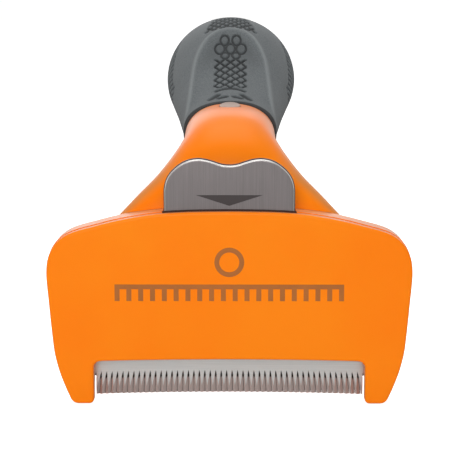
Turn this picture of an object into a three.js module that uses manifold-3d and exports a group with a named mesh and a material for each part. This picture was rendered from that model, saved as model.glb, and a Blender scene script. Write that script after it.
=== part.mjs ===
// Deshedding tool: a wide comb head with a slide-down hair ejector, a flared
// neck and a rubber-sleeved palm handle. Millimetres, +Z up.
// Frame: origin on the plane the lugs rest on, under the middle of the tool's
// length and width. +X is along the comb and +Y runs back towards the handle's
// end. The shapes below are drawn with y measured from the front face, and the
// whole tool is then set forward by MID_Y.
import * as THREE from 'three';
import { mergeVertices } from 'three/addons/utils/BufferGeometryUtils.js';
import Module from 'manifold-3d';

const wasm = await Module();
wasm.setup();

// ---------------------------------------------------------------- dimensions
const COVER_T = 3.0;          // front cover, full thickness
const COVER_WALL = 1.8;       // front cover, wall over the moving parts
const COVER_EDGE_R = 0.7;     // rounding of the front cover's outer edge
const PARTING_GAP = 0.15;     // gap between the two head shells
const REAR_Y0 = COVER_T + PARTING_GAP;
const REAR_Y1 = 12.0;         // back of the head
const REAR_R = 3.4;           // rounding of the head's back edges
const RECESS_HALF = 34.15;    // half width of the opening between the lugs
const RECESS_TOP = 11.35;     // top of the opening, at the middle
const RECESS_SAG = 0.5;       // how much lower its ends are
const TEETH = 49;
const TOOTH_PITCH = 1.395;
const BLADE_HALF = 33.95;      // at the teeth
const BLADE_EAR = 34.8;        // above them, where its ends run into the shell
const EAR_Z = 6.3;
const BLADE_Y0 = 4.8;
const BLADE_Y1 = 6.6;
const BLADE_TOP = 23.0;
const TIP_Z = 2.06;           // tooth tips at the middle
const TIP_SAG = 0.6;
const NOTCH_Z = 7.2;          // where the slots between the teeth begin
const TRAVEL = 7.5;           // ejector stroke, down
const PLATE_Y0 = 2.2;         // button face plate, front
const PLATE_Y1 = 3.2;
const SPRING_X = 11.0;
const SPRING_Y = 5.1;
const SPRING_Z0 = 26.6;
const SPRING_Z1 = 49.9;
const SPRING_R = 1.1;         // coil centreline radius
const WIRE_R = 0.2;
const COLLAR_Y = 42.0;        // neck ends here and the grip begins
const TIP_Y = 150.4;          // end of the grip
const MARK_T = 0.1;           // thickness of the printed marks
const MARK_POCKET = 0.12;     // depth of the shallow pockets they lie in
const MID_Y = TIP_Y / 2;

// ------------------------------------------------------------------- helpers
function toSolid(geometry) {
  let g = geometry.clone();
  g.deleteAttribute('normal');
  g.deleteAttribute('uv');
  g = mergeVertices(g, 1e-5);
  const p = g.attributes.position.array;
  const idx = Array.from(g.index.array);
  const tris = [];
  let volume = 0;
  for (let i = 0; i < idx.length; i += 3) {
    const [a, b, c] = [idx[i], idx[i + 1], idx[i + 2]];
    if (a === b || b === c || a === c) continue;
    tris.push(a, b, c);
    const [ax, ay, az] = [p[3 * a], p[3 * a + 1], p[3 * a + 2]];
    const [bx, by, bz] = [p[3 * b], p[3 * b + 1], p[3 * b + 2]];
    const [cx, cy, cz] = [p[3 * c], p[3 * c + 1], p[3 * c + 2]];
    volume += ax * (by * cz - bz * cy) - ay * (bx * cz - bz * cx) + az * (bx * cy - by * cx);
  }
  if (volume < 0) for (let i = 0; i < tris.length; i += 3) [tris[i], tris[i + 1]] = [tris[i + 1], tris[i]];
  return new wasm.Manifold(new wasm.Mesh({
    numProp: 3, vertProperties: new Float32Array(p), triVerts: new Uint32Array(tris),
  }));
}

function toGeometry(solid) {
  const m = solid.getMesh();
  const g = new THREE.BufferGeometry();
  const n = m.vertProperties.length / m.numProp;
  const pos = new Float32Array(n * 3);
  for (let i = 0; i < n; i++) for (let k = 0; k < 3; k++) pos[3 * i + k] = m.vertProperties[i * m.numProp + k];
  g.setAttribute('position', new THREE.BufferAttribute(pos, 3));
  g.setIndex(new THREE.BufferAttribute(new Uint32Array(m.triVerts), 1));
  g.computeVertexNormals();
  return g;
}

function box(x0, x1, y0, y1, z0, z1) {
  const g = new THREE.BoxGeometry(x1 - x0, y1 - y0, z1 - z0);
  g.translate((x0 + x1) / 2, (y0 + y1) / 2, (z0 + z1) / 2);
  return toSolid(g);
}

function rod(axis, r, a, b, at, segments = 16) {
  const g = new THREE.CylinderGeometry(r, r, b - a, segments);
  if (axis === 'y') { g.translate(0, (a + b) / 2, 0); g.translate(at[0], 0, at[1]); }
  if (axis === 'z') { g.rotateX(Math.PI / 2); g.translate(at[0], at[1], (a + b) / 2); }
  return toSolid(g);
}

// outline given as [x, z] points, extruded from y0 to y0 + thickness
function plate(points, y0, thickness, bevel = 0, segments = 2, offset = -bevel) {
  const shape = new THREE.Shape(points.map(([x, z]) => new THREE.Vector2(x, z)));
  const g = new THREE.ExtrudeGeometry(shape, {
    depth: thickness - 2 * bevel, steps: 1, curveSegments: 8,
    bevelEnabled: bevel > 0, bevelThickness: bevel, bevelSize: bevel,
    bevelOffset: offset, bevelSegments: segments,
  });
  g.rotateX(Math.PI / 2);
  g.translate(0, y0 + thickness - bevel, 0);
  return g;
}

// side profile given as [y, z] points, extruded over x0 .. x1
function profileX(points, x0, x1) {
  const shape = new THREE.Shape(points.map(([y, z]) => new THREE.Vector2(y, z)));
  const g = new THREE.ExtrudeGeometry(shape, { depth: x1 - x0, steps: 1, bevelEnabled: false });
  const m = new THREE.Matrix4().makeBasis(
    new THREE.Vector3(0, 1, 0), new THREE.Vector3(0, 0, 1), new THREE.Vector3(1, 0, 0));
  g.applyMatrix4(m);
  g.translate(x0, 0, 0);
  return toSolid(g);
}

// plan profile given as [x, y] points, extruded over z0 .. z1
function profileZ(points, z0, z1) {
  const shape = new THREE.Shape(points.map(([x, y]) => new THREE.Vector2(x, y)));
  const g = new THREE.ExtrudeGeometry(shape, { depth: z1 - z0, steps: 1, bevelEnabled: false });
  g.translate(0, 0, z0);
  return toSolid(g);
}

// a closed solid swept from a cylinder: point(u, angle) gives each place on
// its side and centre(u) the middle of each end
function sweep(nu, nt, point, centre, spacing = (u) => u) {
  const g = new THREE.CylinderGeometry(1, 1, 1, nt, nu, false);
  const p = g.attributes.position;
  for (let i = 0; i < p.count; i++) {
    const r = Math.hypot(p.getX(i), p.getZ(i));
    const u = spacing(Math.round((p.getY(i) + 0.5) * nu) / nu);
    let q;
    if (r < 0.5) q = centre(u);
    else {
      const k = Math.round(Math.atan2(p.getX(i), p.getZ(i)) / (2 * Math.PI) * nt);
      q = point(u, (((k % nt) + nt) % nt) / nt * 2 * Math.PI);
    }
    p.setXYZ(i, q[0], q[1], q[2]);
  }
  return toSolid(g);
}

// smooth curve through a table's column, with the first column as its variable
function along(table, column, x) {
  const n = table.length;
  const X = (i) => table[i][0];
  const Y = (i) => table[i][column];
  x = Math.min(Math.max(x, X(0)), X(n - 1));
  let i = 0;
  while (i < n - 2 && x >= X(i + 1)) i++;
  const slope = (k) => (k === 0 ? (Y(1) - Y(0)) / (X(1) - X(0))
    : k === n - 1 ? (Y(n - 1) - Y(n - 2)) / (X(n - 1) - X(n - 2))
      : (Y(k + 1) - Y(k - 1)) / (X(k + 1) - X(k - 1)));
  const h = X(i + 1) - X(i);
  const t = (x - X(i)) / h;
  const t2 = t * t;
  const t3 = t2 * t;
  return (2 * t3 - 3 * t2 + 1) * Y(i) + (t3 - 2 * t2 + t) * h * slope(i)
    + (-2 * t3 + 3 * t2) * Y(i + 1) + (t3 - t2) * h * slope(i + 1);
}

const power = (v, e) => Math.sign(v) * Math.abs(v) ** e;

const root = new THREE.Group();
const tool = new THREE.Group();
tool.position.y = -MID_Y;
root.add(tool);
function add(name, solidOrGeometry, colour, roughness, metalness = 0) {
  const geometry = solidOrGeometry.isBufferGeometry ? toGeometry(toSolid(solidOrGeometry)) : toGeometry(solidOrGeometry);
  const material = new THREE.MeshStandardMaterial({ color: colour, roughness, metalness });
  const mesh = new THREE.Mesh(geometry, material);
  mesh.name = name;
  tool.add(mesh);
}

const ORANGE = 0xff8410;
const RUBBER = 0x686e70;
const STEEL = 0xb4b2ac;
const ZINC = 0xc8c8c4;
const PLASTIC = 0x3a3a3c;

// -------------------------------------------------------------- head outline
// right half of the head's outline, from the top middle to the lug's tip
const HALF_OUTLINE = [
  [0, 48.8], [6, 48.75], [12, 48.6], [18.1, 48.2], [23.8, 47.37], [29.35, 46.25], [33.8, 45.1],
  [37.5, 44.12], [40.2, 43.15], [42.3, 41.8], [43.9, 40.05], [44.95, 38.1], [45.55, 35.9],
  [45.75, 33.2], [45.6, 30.2], [45.25, 26.3], [44.75, 20.4], [44.1, 14.0], [43.5, 10.9],
  [42.68, 7.9], [41.55, 4.8], [40.4, 2.1], [39.75, 0.85], [39.0, 0.22], [38.0, 0],
];

function outline(scaleX, scaleZ, lift, lugInner, recessTop, recessSag) {
  const curve = new THREE.SplineCurve(HALF_OUTLINE.map(([x, z]) => new THREE.Vector2(x, z)));
  const right = curve.getSpacedPoints(44).map((v) => [v.x, v.y]);
  right[0][0] = 0;
  right[right.length - 1] = [38.0, 0];
  const pts = right.map(([x, z]) => [x * scaleX, lift + z * scaleZ]);
  const floor = lift;
  const r = 1.2;
  pts.push([lugInner + r, floor]);
  for (let k = 1; k <= 3; k++) {
    const a = (k / 3) * Math.PI / 2;
    pts.push([lugInner + r - r * Math.sin(a), floor + r - r * Math.cos(a)]);
  }
  const R = 1.6;
  const end = recessTop - recessSag;
  for (let k = 0; k <= 4; k++) {
    const a = (k / 4) * Math.PI / 2;
    pts.push([lugInner - R + R * Math.cos(a), end - R + R * Math.sin(a)]);
  }
  for (let k = 1; k < 6; k++) {
    const x = (lugInner - R) * (1 - k / 6);
    pts.push([x, recessTop - recessSag * (x / lugInner) ** 2]);
  }
  const left = pts.slice(1).reverse().map(([x, z]) => [-x, z]);
  return [...pts, [0, recessTop], ...left];
}

// --------------------------------------------------------------- front cover
{
  const bevelled = toSolid(plate(outline(1, 1, 0, RECESS_HALF, RECESS_TOP, RECESS_SAG), 0, 8, COVER_EDGE_R, 2));
  let cover = bevelled.intersect(box(-60, 60, -1, COVER_T, -5, 60));
  // room behind it for the ejector plate, its carrier and the button's plate
  cover = cover.subtract(box(-RECESS_HALF - 0.1, RECESS_HALF + 0.1, COVER_WALL, COVER_T + 1, 9, 24.5));
  cover = cover.subtract(box(-16.9, 16.9, COVER_WALL, COVER_T + 1, 24, 60));
  for (const [x, z] of [[38.4, 13.5], [-38.4, 13.5], [39.2, 35], [-39.2, 35]]) {
    cover = cover.subtract(rod('y', 1.15, 1.45, COVER_T + 1, [x, z], 12));
  }
  // the printed marks lie just under the flat front face
  cover = cover.subtract(box(-29.1, 29.1, -1, MARK_POCKET, 25.9, 31.1));
  cover = cover.subtract(rod('y', 4.1, -1, MARK_POCKET, [0, 36.2], 40));
  add('front_cover', cover, ORANGE, 0.4);
}

// --------------------------------------------------------- head, rear outside
function rearHead(margin) {
  const y1 = REAR_Y1 + margin;
  const r = REAR_R;
  const top = 50.5 + margin;
  const side = [[REAR_Y0 - margin, -3]];
  side.push([7.4, -3], [8.1, 2], [9.2, 8], [10.8, 15], [11.7, 21], [y1, 27]);
  for (let k = 0; k <= 5; k++) {
    const a = (k / 5) * Math.PI / 2;
    side.push([y1 - r + r * Math.cos(a), 49.1 + margin - r + r * Math.sin(a)]);
  }
  side.push([y1 - r - 0.6, top], [REAR_Y0 - margin, top]);
  const plan = [];
  for (let k = 0; k <= 5; k++) {
    const a = (k / 5) * Math.PI / 2;
    plan.push([46.2 - r * 1.2 + r * 1.2 * Math.cos(a), y1 - r * 1.2 + r * 1.2 * Math.sin(a)]);
  }
  const planAll = [[46.2, REAR_Y0 - margin], ...plan, ...plan.slice().reverse().map(([x, y]) => [-x, y]), [-46.2, REAR_Y0 - margin]];
  const body = toSolid(plate(outline(1.003 + margin / 45, 1.0025 + margin / 24, 0.1 - margin, RECESS_HALF + 0.4 - margin, RECESS_TOP - 0.9 - margin, RECESS_SAG), REAR_Y0 - 4 - margin, 13.6, 0.9, 2))
    .intersect(box(-60, 60, REAR_Y0 - margin, 40, -5, 60));
  return body.intersect(profileX(side, -60, 60)).intersect(profileZ(planAll, -5, 60));
}

// ----------------------------------------------------------------- the neck
// station, outer y, outer z, inner y, inner z, half width
const NECK = [
  [-1, 7.6, 30, 11.4, 15, 33.0],
  [0, 8.0, 39, 15.5, 25, 35.4],
  [1, 8.0, 47, 20.5, 34, 32.3],
  [2, 8.4, 54, 26.5, 42, 25.8],
  [3, 10.2, 60.4, 31.5, 47.2, 19.6],
  [4, 14.4, 66.2, 36, 50.8, 15.2],
  [5, 21.5, 70.4, 39, 52.8, 12.7],
  [6, 31, 72.5, 41, 53.6, 12.3],
  [7, 42, 73.2, 42, 53.9, 12.3],
];

function neckPoint(s, a, wall = 0) {
  const oy = along(NECK, 1, s);
  const oz = along(NECK, 2, s);
  const iy = along(NECK, 3, s);
  const iz = along(NECK, 4, s);
  const w = along(NECK, 5, s) - wall * 1.3;
  const dy = oy - iy;
  const dz = oz - iz;
  const l = Math.hypot(dy, dz);
  const h = l / 2 - wall;
  const c = power(Math.cos(a), 2 / 2.3);
  const k = power(Math.sin(a), 2 / 2.3);
  return [w * c, (oy + iy) / 2 + (dy / l) * h * k, (oz + iz) / 2 + (dz / l) * h * k];
}
const neckCentre = (s) => [0, (along(NECK, 1, s) + along(NECK, 3, s)) / 2, (along(NECK, 2, s) + along(NECK, 4, s)) / 2];

// ------------------------------------------------------------ the handle core
// y, half width, widest z, top z, bottom z
const CORE = [
  [36, 9.4, 63.8, 70.0, 57.2],
  [50, 9.6, 66.0, 72.6, 58.4],
  [60, 9.9, 68.8, 75.4, 60.2],
  [80, 11.4, 74.2, 82.6, 63.4],
  [100, 12.4, 76.6, 87.6, 65.0],
  [120, 11.8, 77.0, 87.0, 66.6],
  [134, 8.8, 76.5, 83.6, 69.2],
  [140, 4.5, 76.0, 79.6, 72.4],
];

function corePoint(y, a, grow = 0) {
  const w = along(CORE, 1, y) + grow;
  const zc = along(CORE, 2, y);
  const up = along(CORE, 3, y) - zc + grow;
  const down = zc - along(CORE, 4, y) + grow;
  const s = Math.sin(a);
  return [w * Math.cos(a), y, zc + (s > 0 ? up : down) * s];
}
const coreCentre = (y) => [0, y, along(CORE, 2, y)];

// seam between the upper and lower halves, as [y, z]
const SEAM = [
  [-5, 44.2], [13, 44.2], [16, 45.4], [18.2, 48.0], [21, 53.6], [25, 58.2], [30, 61.4], [36, 63.2],
  [43, 64.2], [60, 68.8], [80, 74.2], [100, 76.6], [120, 77.0], [160, 76.4],
];

const HANDLE_SCREWS = [[64, 'front'], [114, 'rear']];
function oval(grow, z0, z1) {
  const g = new THREE.CylinderGeometry(1, 1, z1 - z0, 24);
  g.rotateX(Math.PI / 2);
  g.scale(2.8 + grow, 3.4 + grow, 1);
  g.translate(0, 37.4, (z0 + z1) / 2);
  return toSolid(g);
}
const coreSpan = (u) => 36 + u * (140 - 36);
const neckOuter = sweep(15, 32, (u, a) => neckPoint(-1 + 8 * u, a), (u) => neckCentre(-1 + 8 * u));
const neckInner = sweep(8, 20, (u, a) => neckPoint(0.55 + 5.45 * u, a, 2.2), (u) => neckCentre(0.55 + 5.45 * u));
const coreOuter = sweep(9, 20, (u, a) => corePoint(coreSpan(u), a), (u) => coreCentre(coreSpan(u)));
const coreInner = sweep(8, 16, (u, a) => corePoint(29 + 107 * u, a, -2.2), (u) => coreCentre(29 + 107 * u));

let shell = neckOuter.add(coreOuter).subtract(neckInner).subtract(coreInner);
for (const [y] of HANDLE_SCREWS) {
  shell = shell.add(rod('z', 3.0, 50, 95, [0, y], 16).intersect(coreOuter));
}

const seamUp = SEAM.map(([y, z]) => [y, z + 0.06]);
const seamDown = SEAM.map(([y, z]) => [y, z - 0.06]);
const upperZone = profileX([...seamUp, [160, 130], [-5, 130]], -70, 70);
const lowerZone = profileX([[-5, -20], [160, -20], ...seamDown.slice().reverse()], -70, 70);

{
  let top = shell.intersect(upperZone).subtract(rearHead(0.12));
  for (const [y] of HANDLE_SCREWS) top = top.subtract(rod('z', 1.1, 50, along(CORE, 3, y) - 2.0, [0, y], 12));
  // seat of the oval inlay
  top = top.subtract(oval(0.2, 72.0, 80));
  add('neck_top', top, ORANGE, 0.42);
}

{
  let rear = rearHead(0).add(shell.intersect(lowerZone));
  // blade and ejector plate
  rear = rear.subtract(box(-33.75, 33.75, 2, 6.75, 5, BLADE_TOP + 0.2));
  rear = rear.subtract(box(-BLADE_EAR - 0.2, BLADE_EAR + 0.2, BLADE_Y0 - 0.3, 6.9, EAR_Z - 0.4, BLADE_TOP + 0.2));
  // clamp bar behind the blade
  rear = rear.subtract(box(-31.2, 31.2, 6, 8.35, 12.3, 22.2));
  // carrier's way past the shelf
  rear = rear.subtract(box(-8.5, 8.5, 2, 3.5, 20, 30));
  // button's well
  rear = rear.subtract(box(-16.7, 16.7, 2, 7.4, 26.5, 60));
  // hollow wings, with the bosses of the upper screws left standing
  for (const s of [-1, 1]) {
    let wing = box(18.4, 41.2, 2, 9.8, 25.4, 39.6).subtract(rod('y', 3.1, 0, 20, [39.2, 35], 16));
    wing = wing.subtract(box(39.2, 45, 0, 20, 31.9, 38.1));
    if (s < 0) wing = wing.mirror([1, 0, 0]);
    rear = rear.subtract(wing);
  }
  for (const [x, z, seat] of [[38.4, 13.5, 8.2], [-38.4, 13.5, 8.2], [39.2, 35, 9.6], [-39.2, 35, 9.6]]) {
    rear = rear.subtract(rod('y', 1.15, 2, 20, [x, z], 12));
    rear = rear.subtract(rod('y', 2.4, seat, 20, [x, z], 16));
  }
  for (const x of [-22, 22]) rear = rear.subtract(rod('y', 1.05, 5, 10.6, [x, 20], 12));
  for (const x of [-SPRING_X, SPRING_X]) rear = rear.subtract(rod('z', 0.7, 24.4, 28, [x, SPRING_Y], 12));
  for (const [y] of HANDLE_SCREWS) {
    rear = rear.subtract(rod('z', 1.3, 50, 95, [0, y], 12));
    rear = rear.subtract(rod('z', 2.3, 40, along(CORE, 4, y) + 2.3, [0, y], 12));
  }
  add('rear_body', rear, ORANGE, 0.42);
}

add('oval_inlay', oval(0, 72.1, 73.15), 0xe0b090, 0.35);

// ---------------------------------------------------------------- grip sleeve
// y, half width, widest z, top z, bottom z
const GRIP = [
  [42.3, 12.9, 65.4, 74.1, 53.2],
  [48, 13.0, 66.4, 76.9, 54.4],
  [56, 13.9, 68.6, 81.0, 56.0],
  [66, 15.5, 71.4, 86.0, 57.8],
  [76, 17.5, 74.0, 90.5, 59.0],
  [86, 18.8, 76.0, 94.0, 59.6],
  [96, 19.5, 77.0, 95.9, 59.8],
  [106, 19.9, 77.2, 96.5, 60.0],
  [116, 19.5, 77.2, 95.7, 60.6],
  [126, 18.4, 77.0, 93.2, 62.0],
  [136, 16.0, 76.4, 89.0, 64.4],
  [143, 12.8, 75.9, 84.8, 66.8],
  [148, 8.4, 75.6, 80.8, 69.8],
  [150.4, 2.0, 75.6, 76.6, 74.4],
];
// depth of the thumb scoop along y
const SCOOP = [[42.3, 0], [50, 1.8], [58, 3.0], [68, 3.8], [76, 3.8], [87, 3.2]];

function scoop(x, y) {
  const q = (Math.abs(x) / 11.8) ** 2.2 + (y > 50 ? ((y - 50) / 35.6) ** 1.75 : 0);
  return q >= 1 ? 0 : along(SCOOP, 1, y) * (1 - q) ** 1.05;
}

function gripPoint(y, a) {
  const w = along(GRIP, 1, y);
  const zc = along(GRIP, 2, y);
  const up = along(GRIP, 3, y) - zc;
  const down = zc - along(GRIP, 4, y);
  // squarish at the collar, rounder over the palm
  const e = 2 / (2.25 - 0.37 * Math.min(Math.max((y - 43) / 19, 0), 1));
  const x = w * power(Math.cos(a), e);
  const k = power(Math.sin(a), e);
  const z = zc + (k > 0 ? up : down) * k;
  return [x, y, k > 0 ? z - scoop(x, y) : z];
}

{
  const span = (u) => 42.3 + (TIP_Y - 42.3) * Math.sin(u * Math.PI / 2) ** 0.94;
  const outer = sweep(20, 32, (u, a) => gripPoint(span(u), a), (u) => [0, span(u), along(GRIP, 2, span(u))]);
  const coreHole = sweep(9, 20, (u, a) => corePoint(36 + 104.2 * u, a, 0.2), (u) => coreCentre(36 + 104.2 * u));
  add('grip', outer.subtract(coreHole), RUBBER, 0.8);
}

// ----------------------------------------------------------------- comb blade
{
  const pts = [[-BLADE_EAR, BLADE_TOP], [-BLADE_EAR, EAR_Z], [-BLADE_HALF, EAR_Z - 0.5], [-BLADE_HALF, TIP_Z - TIP_SAG]];
  const half = TEETH / 2;
  for (let i = 1; i < TEETH; i++) {
    const x = (i - half) * TOOTH_PITCH;
    const lean = 0.019 * x;
    const tip = TIP_Z - TIP_SAG * (x / BLADE_HALF) ** 2;
    pts.push([x - 0.45 + lean, tip], [x - 0.13, NOTCH_Z - 0.9 * (x / BLADE_HALF) ** 2 * 0.6],
      [x + 0.13, NOTCH_Z - 0.9 * (x / BLADE_HALF) ** 2 * 0.6], [x + 0.45 + lean, tip]);
  }
  pts.push([BLADE_HALF, TIP_Z - TIP_SAG], [BLADE_HALF, EAR_Z - 0.5], [BLADE_EAR, EAR_Z], [BLADE_EAR, BLADE_TOP]);
  let blade = toSolid(plate(pts.reverse(), BLADE_Y0, BLADE_Y1 - BLADE_Y0));
  // the back of the teeth is ground to an edge
  const grind = profileX([[BLADE_Y0 + 0.7, -1], [BLADE_Y1 + 0.6, 7.2], [12, 7.2], [12, -1]], -50, 50);
  blade = blade.subtract(grind);
  for (const x of [-22, 22]) blade = blade.subtract(rod('y', 1.15, 0, 10, [x, 20], 12));
  add('comb_blade', blade, STEEL, 0.35, 1);
  let clamp = box(-31, 31, 6.7, 8.2, 12.5, 22);
  for (const x of [-22, 22]) clamp = clamp.subtract(rod('y', 1.15, 0, 10, [x, 20], 12));
  add('blade_clamp', clamp, ZINC, 0.4, 1);
}

// a cap screw along -y (head at y0) with a slot across the head
function screwY(name, x, z, headR, headY0, headY1, shankR, shankY1, headFirst) {
  const head = headFirst ? rod('y', headR, headY0, headY1, [x, z], 12) : rod('y', headR, headY0, headY1, [x, z], 12);
  const shank = headFirst ? rod('y', shankR, headY1 - 0.1, shankY1, [x, z], 8) : rod('y', shankR, shankY1, headY0 + 0.1, [x, z], 8);
  const slotY = headFirst ? [headY0 - 1, headY0 + 0.45] : [headY1 - 0.45, headY1 + 1];
  const cross = box(x - headR * 0.62, x + headR * 0.62, slotY[0], slotY[1], z - 0.28, z + 0.28)
    .add(box(x - 0.28, x + 0.28, slotY[0], slotY[1], z - headR * 0.62, z + headR * 0.62));
  add(name, head.add(shank).subtract(cross), ZINC, 0.35, 1);
}
screwY('blade_screw_left', -22, 20, 1.7, 3.75, 4.75, 0.95, 10.2, true);
screwY('blade_screw_right', 22, 20, 1.7, 3.75, 4.75, 0.95, 10.2, true);
screwY('cover_screw_1', -38.4, 13.5, 2.1, 8.3, 9.7, 1.0, 1.6, false);
screwY('cover_screw_2', 38.4, 13.5, 2.1, 8.3, 9.7, 1.0, 1.6, false);
screwY('cover_screw_3', -39.2, 35, 2.1, 9.7, 11.2, 1.0, 1.6, false);
screwY('cover_screw_4', 39.2, 35, 2.1, 9.7, 11.2, 1.0, 1.6, false);

for (const [y, tag] of HANDLE_SCREWS) {
  const low = along(CORE, 4, y);
  const high = along(CORE, 3, y);
  const head = rod('z', 2.1, low + 0.8, low + 2.2, [0, y], 12);
  const shank = rod('z', 0.95, low + 2.1, high - 2.3, [0, y], 8);
  const cross = box(-1.3, 1.3, y - 0.28, y + 0.28, low - 1, low + 1.25).add(box(-0.28, 0.28, y - 1.3, y + 1.3, low - 1, low + 1.25));
  add(`handle_screw_${tag}`, head.add(shank).subtract(cross), ZINC, 0.35, 1);
}

// ----------------------------------------------------------- ejector, moving
// top edge of the button, right half, from the thumb dip outwards
const BUTTON_TOP = [
  [0, 60.1], [1.95, 60.3], [4.0, 60.95], [6.0, 61.5], [8.03, 61.7], [10.3, 61.3], [12.35, 60.3],
  [14.4, 58.5], [15.65, 56.5], [16.2, 54.0],
];
function buttonOutline(inset, low) {
  const curve = new THREE.SplineCurve(BUTTON_TOP.map(([x, z]) => new THREE.Vector2(x * (1 - inset / 16.2), z - inset)));
  const right = curve.getSpacedPoints(22).map((v) => [v.x, v.y]);
  right[0][0] = 0;
  right.push([16.2 - inset, low]);
  return [...right, ...right.slice(1).reverse().map(([x, z]) => [-x, z])].reverse();
}
add('button_face_plate', toSolid(plate(buttonOutline(0, 39), PLATE_Y0, PLATE_Y1 - PLATE_Y0, 0.2, 1)), 0x85807e, 0.38, 1);
{
  let body = toSolid(plate(buttonOutline(0.8, 34.5), 3.25, 3.65, 0.4, 1));
  for (const x of [-SPRING_X, SPRING_X]) body = body.subtract(rod('z', 1.55, 30, 50, [x, SPRING_Y], 16));
  body = body.subtract(rod('y', 1.15, 0, 10, [0, 36.6], 12));
  add('button_body', body, PLASTIC, 0.5);
  const arrow = [[-8.4, 52.8], [8.4, 52.8], [0, 50.1]];
  add('arrow_mark', toSolid(plate(arrow.reverse(), PLATE_Y0 - 0.1, 0.1)), 0x383232, 0.5);
}
{
  const pts = [[-18, 13.4], [18, 13.4], [18, 16.8], [8, 18.6], [8, 38.3], [-8, 38.3], [-8, 18.6], [-18, 16.8]];
  let slider = toSolid(plate(pts, PLATE_Y0, 1.0));
  slider = slider.subtract(rod('y', 1.15, 0, 10, [0, 36.6], 12));
  for (const x of [-12, 12]) slider = slider.subtract(rod('y', 0.95, 0, 10, [x, 15.2], 12));
  add('ejector_slider', slider, PLASTIC, 0.5);
  const low = [];
  for (let k = 0; k <= 10; k++) {
    const x = -33.2 + 6.64 * k;
    low.push([x, 11.1 - 0.5 * (x / 33.2) ** 2]);
  }
  let strip = toSolid(plate([...low, [33.2, 17.0], [-33.2, 17.0]], 3.3, 1.0));
  for (const x of [-12, 12]) strip = strip.subtract(rod('y', 0.95, 0, 10, [x, 15.2], 12));
  add('ejector_plate', strip, 0xa8a6a2, 0.35, 1);
  for (const [x, tag] of [[-12, 'left'], [12, 'right']]) {
    add(`ejector_rivet_${tag}`, rod('y', 0.8, 2.2, 4.35, [x, 15.2], 12).add(rod('y', 1.3, 4.35, 4.6, [x, 15.2], 12)), ZINC, 0.35, 1);
  }
  const head = rod('y', 1.7, 6.95, 7.25, [0, 36.6], 16);
  add('slider_screw', head.add(rod('y', 1.0, 2.5, 7.0, [0, 36.6], 12)), ZINC, 0.35, 1);
}

// ------------------------------------------------------------ return springs
for (const [x, tag] of [[-SPRING_X, 'left'], [SPRING_X, 'right']]) {
  class Coil extends THREE.Curve {
    getPoint(t) {
      const a = t * 2 * Math.PI * 10;
      const z = SPRING_Z0 + WIRE_R + t * (SPRING_Z1 - SPRING_Z0 - 2 * WIRE_R);
      return new THREE.Vector3(x + SPRING_R * Math.cos(a), SPRING_Y + SPRING_R * Math.sin(a), z);
    }
  }
  const wire = new THREE.Shape();
  for (let k = 0; k < 4; k++) {
    const a = (k / 4) * 2 * Math.PI;
    const p = [WIRE_R * Math.cos(a), WIRE_R * Math.sin(a)];
    if (k === 0) wire.moveTo(p[0], p[1]); else wire.lineTo(p[0], p[1]);
  }
  wire.closePath();
  const g = new THREE.ExtrudeGeometry(wire, { steps: 60, extrudePath: new Coil(), curveSegments: 1 });
  add(`return_spring_${tag}`, g, 0xb8b8b8, 0.3, 1);
  add(`spring_rod_${tag}`, rod('z', 0.55, 24.6, 41.5, [x, SPRING_Y], 12), ZINC, 0.3, 1);
}

// -------------------------------------------------- printed marks on the head
// a plain comb line: one spine with short teeth under it
{
  const teeth = 20;
  const half = 29.5;
  const pitch = (2 * half) / teeth;
  const pts = [[-half, 30.6], [-half, 26.4]];
  for (let i = 0; i < teeth; i++) {
    const x0 = -half + i * pitch;
    pts.push([x0 + pitch * 0.42, 26.4]);
    if (i < teeth - 1) pts.push([x0 + pitch * 0.42, 29.4], [x0 + pitch, 29.4], [x0 + pitch, 26.4]);
  }
  const xr = -half + (teeth - 1) * pitch + pitch * 0.42;
  pts.push([xr, 30.6]);
  const shift = (half - xr) / 2;
  add('head_mark_comb', toSolid(plate(pts.map(([x, z]) => [x + shift, z]), MARK_POCKET - MARK_T, MARK_T)), 0xb96e2d, 0.5);
  const ring = new THREE.Shape();
  ring.absarc(0, 36.2, 3.7, 0, 2 * Math.PI, false);
  const hole = new THREE.Path();
  hole.absarc(0, 36.2, 2.5, 0, 2 * Math.PI, true);
  ring.holes.push(hole);
  const g = new THREE.ExtrudeGeometry(ring, { depth: MARK_T, steps: 1, bevelEnabled: false, curveSegments: 10 });
  g.rotateX(Math.PI / 2);
  g.translate(0, MARK_POCKET, 0);
  add('head_mark_ring', g, 0xb96e2d, 0.5);
}

export default root;
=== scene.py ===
"""Deshedding tool: a wide head with a comb blade and a push button, and a handle in a rubber grip.

Shapes are drawn in millimetres. x runs to the right as seen from the front, y runs back from
the front face of the head, and z runs up from the tips of the head's two lugs. The neck rises
behind the head and the handle runs backwards from it.
"""
import math

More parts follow.
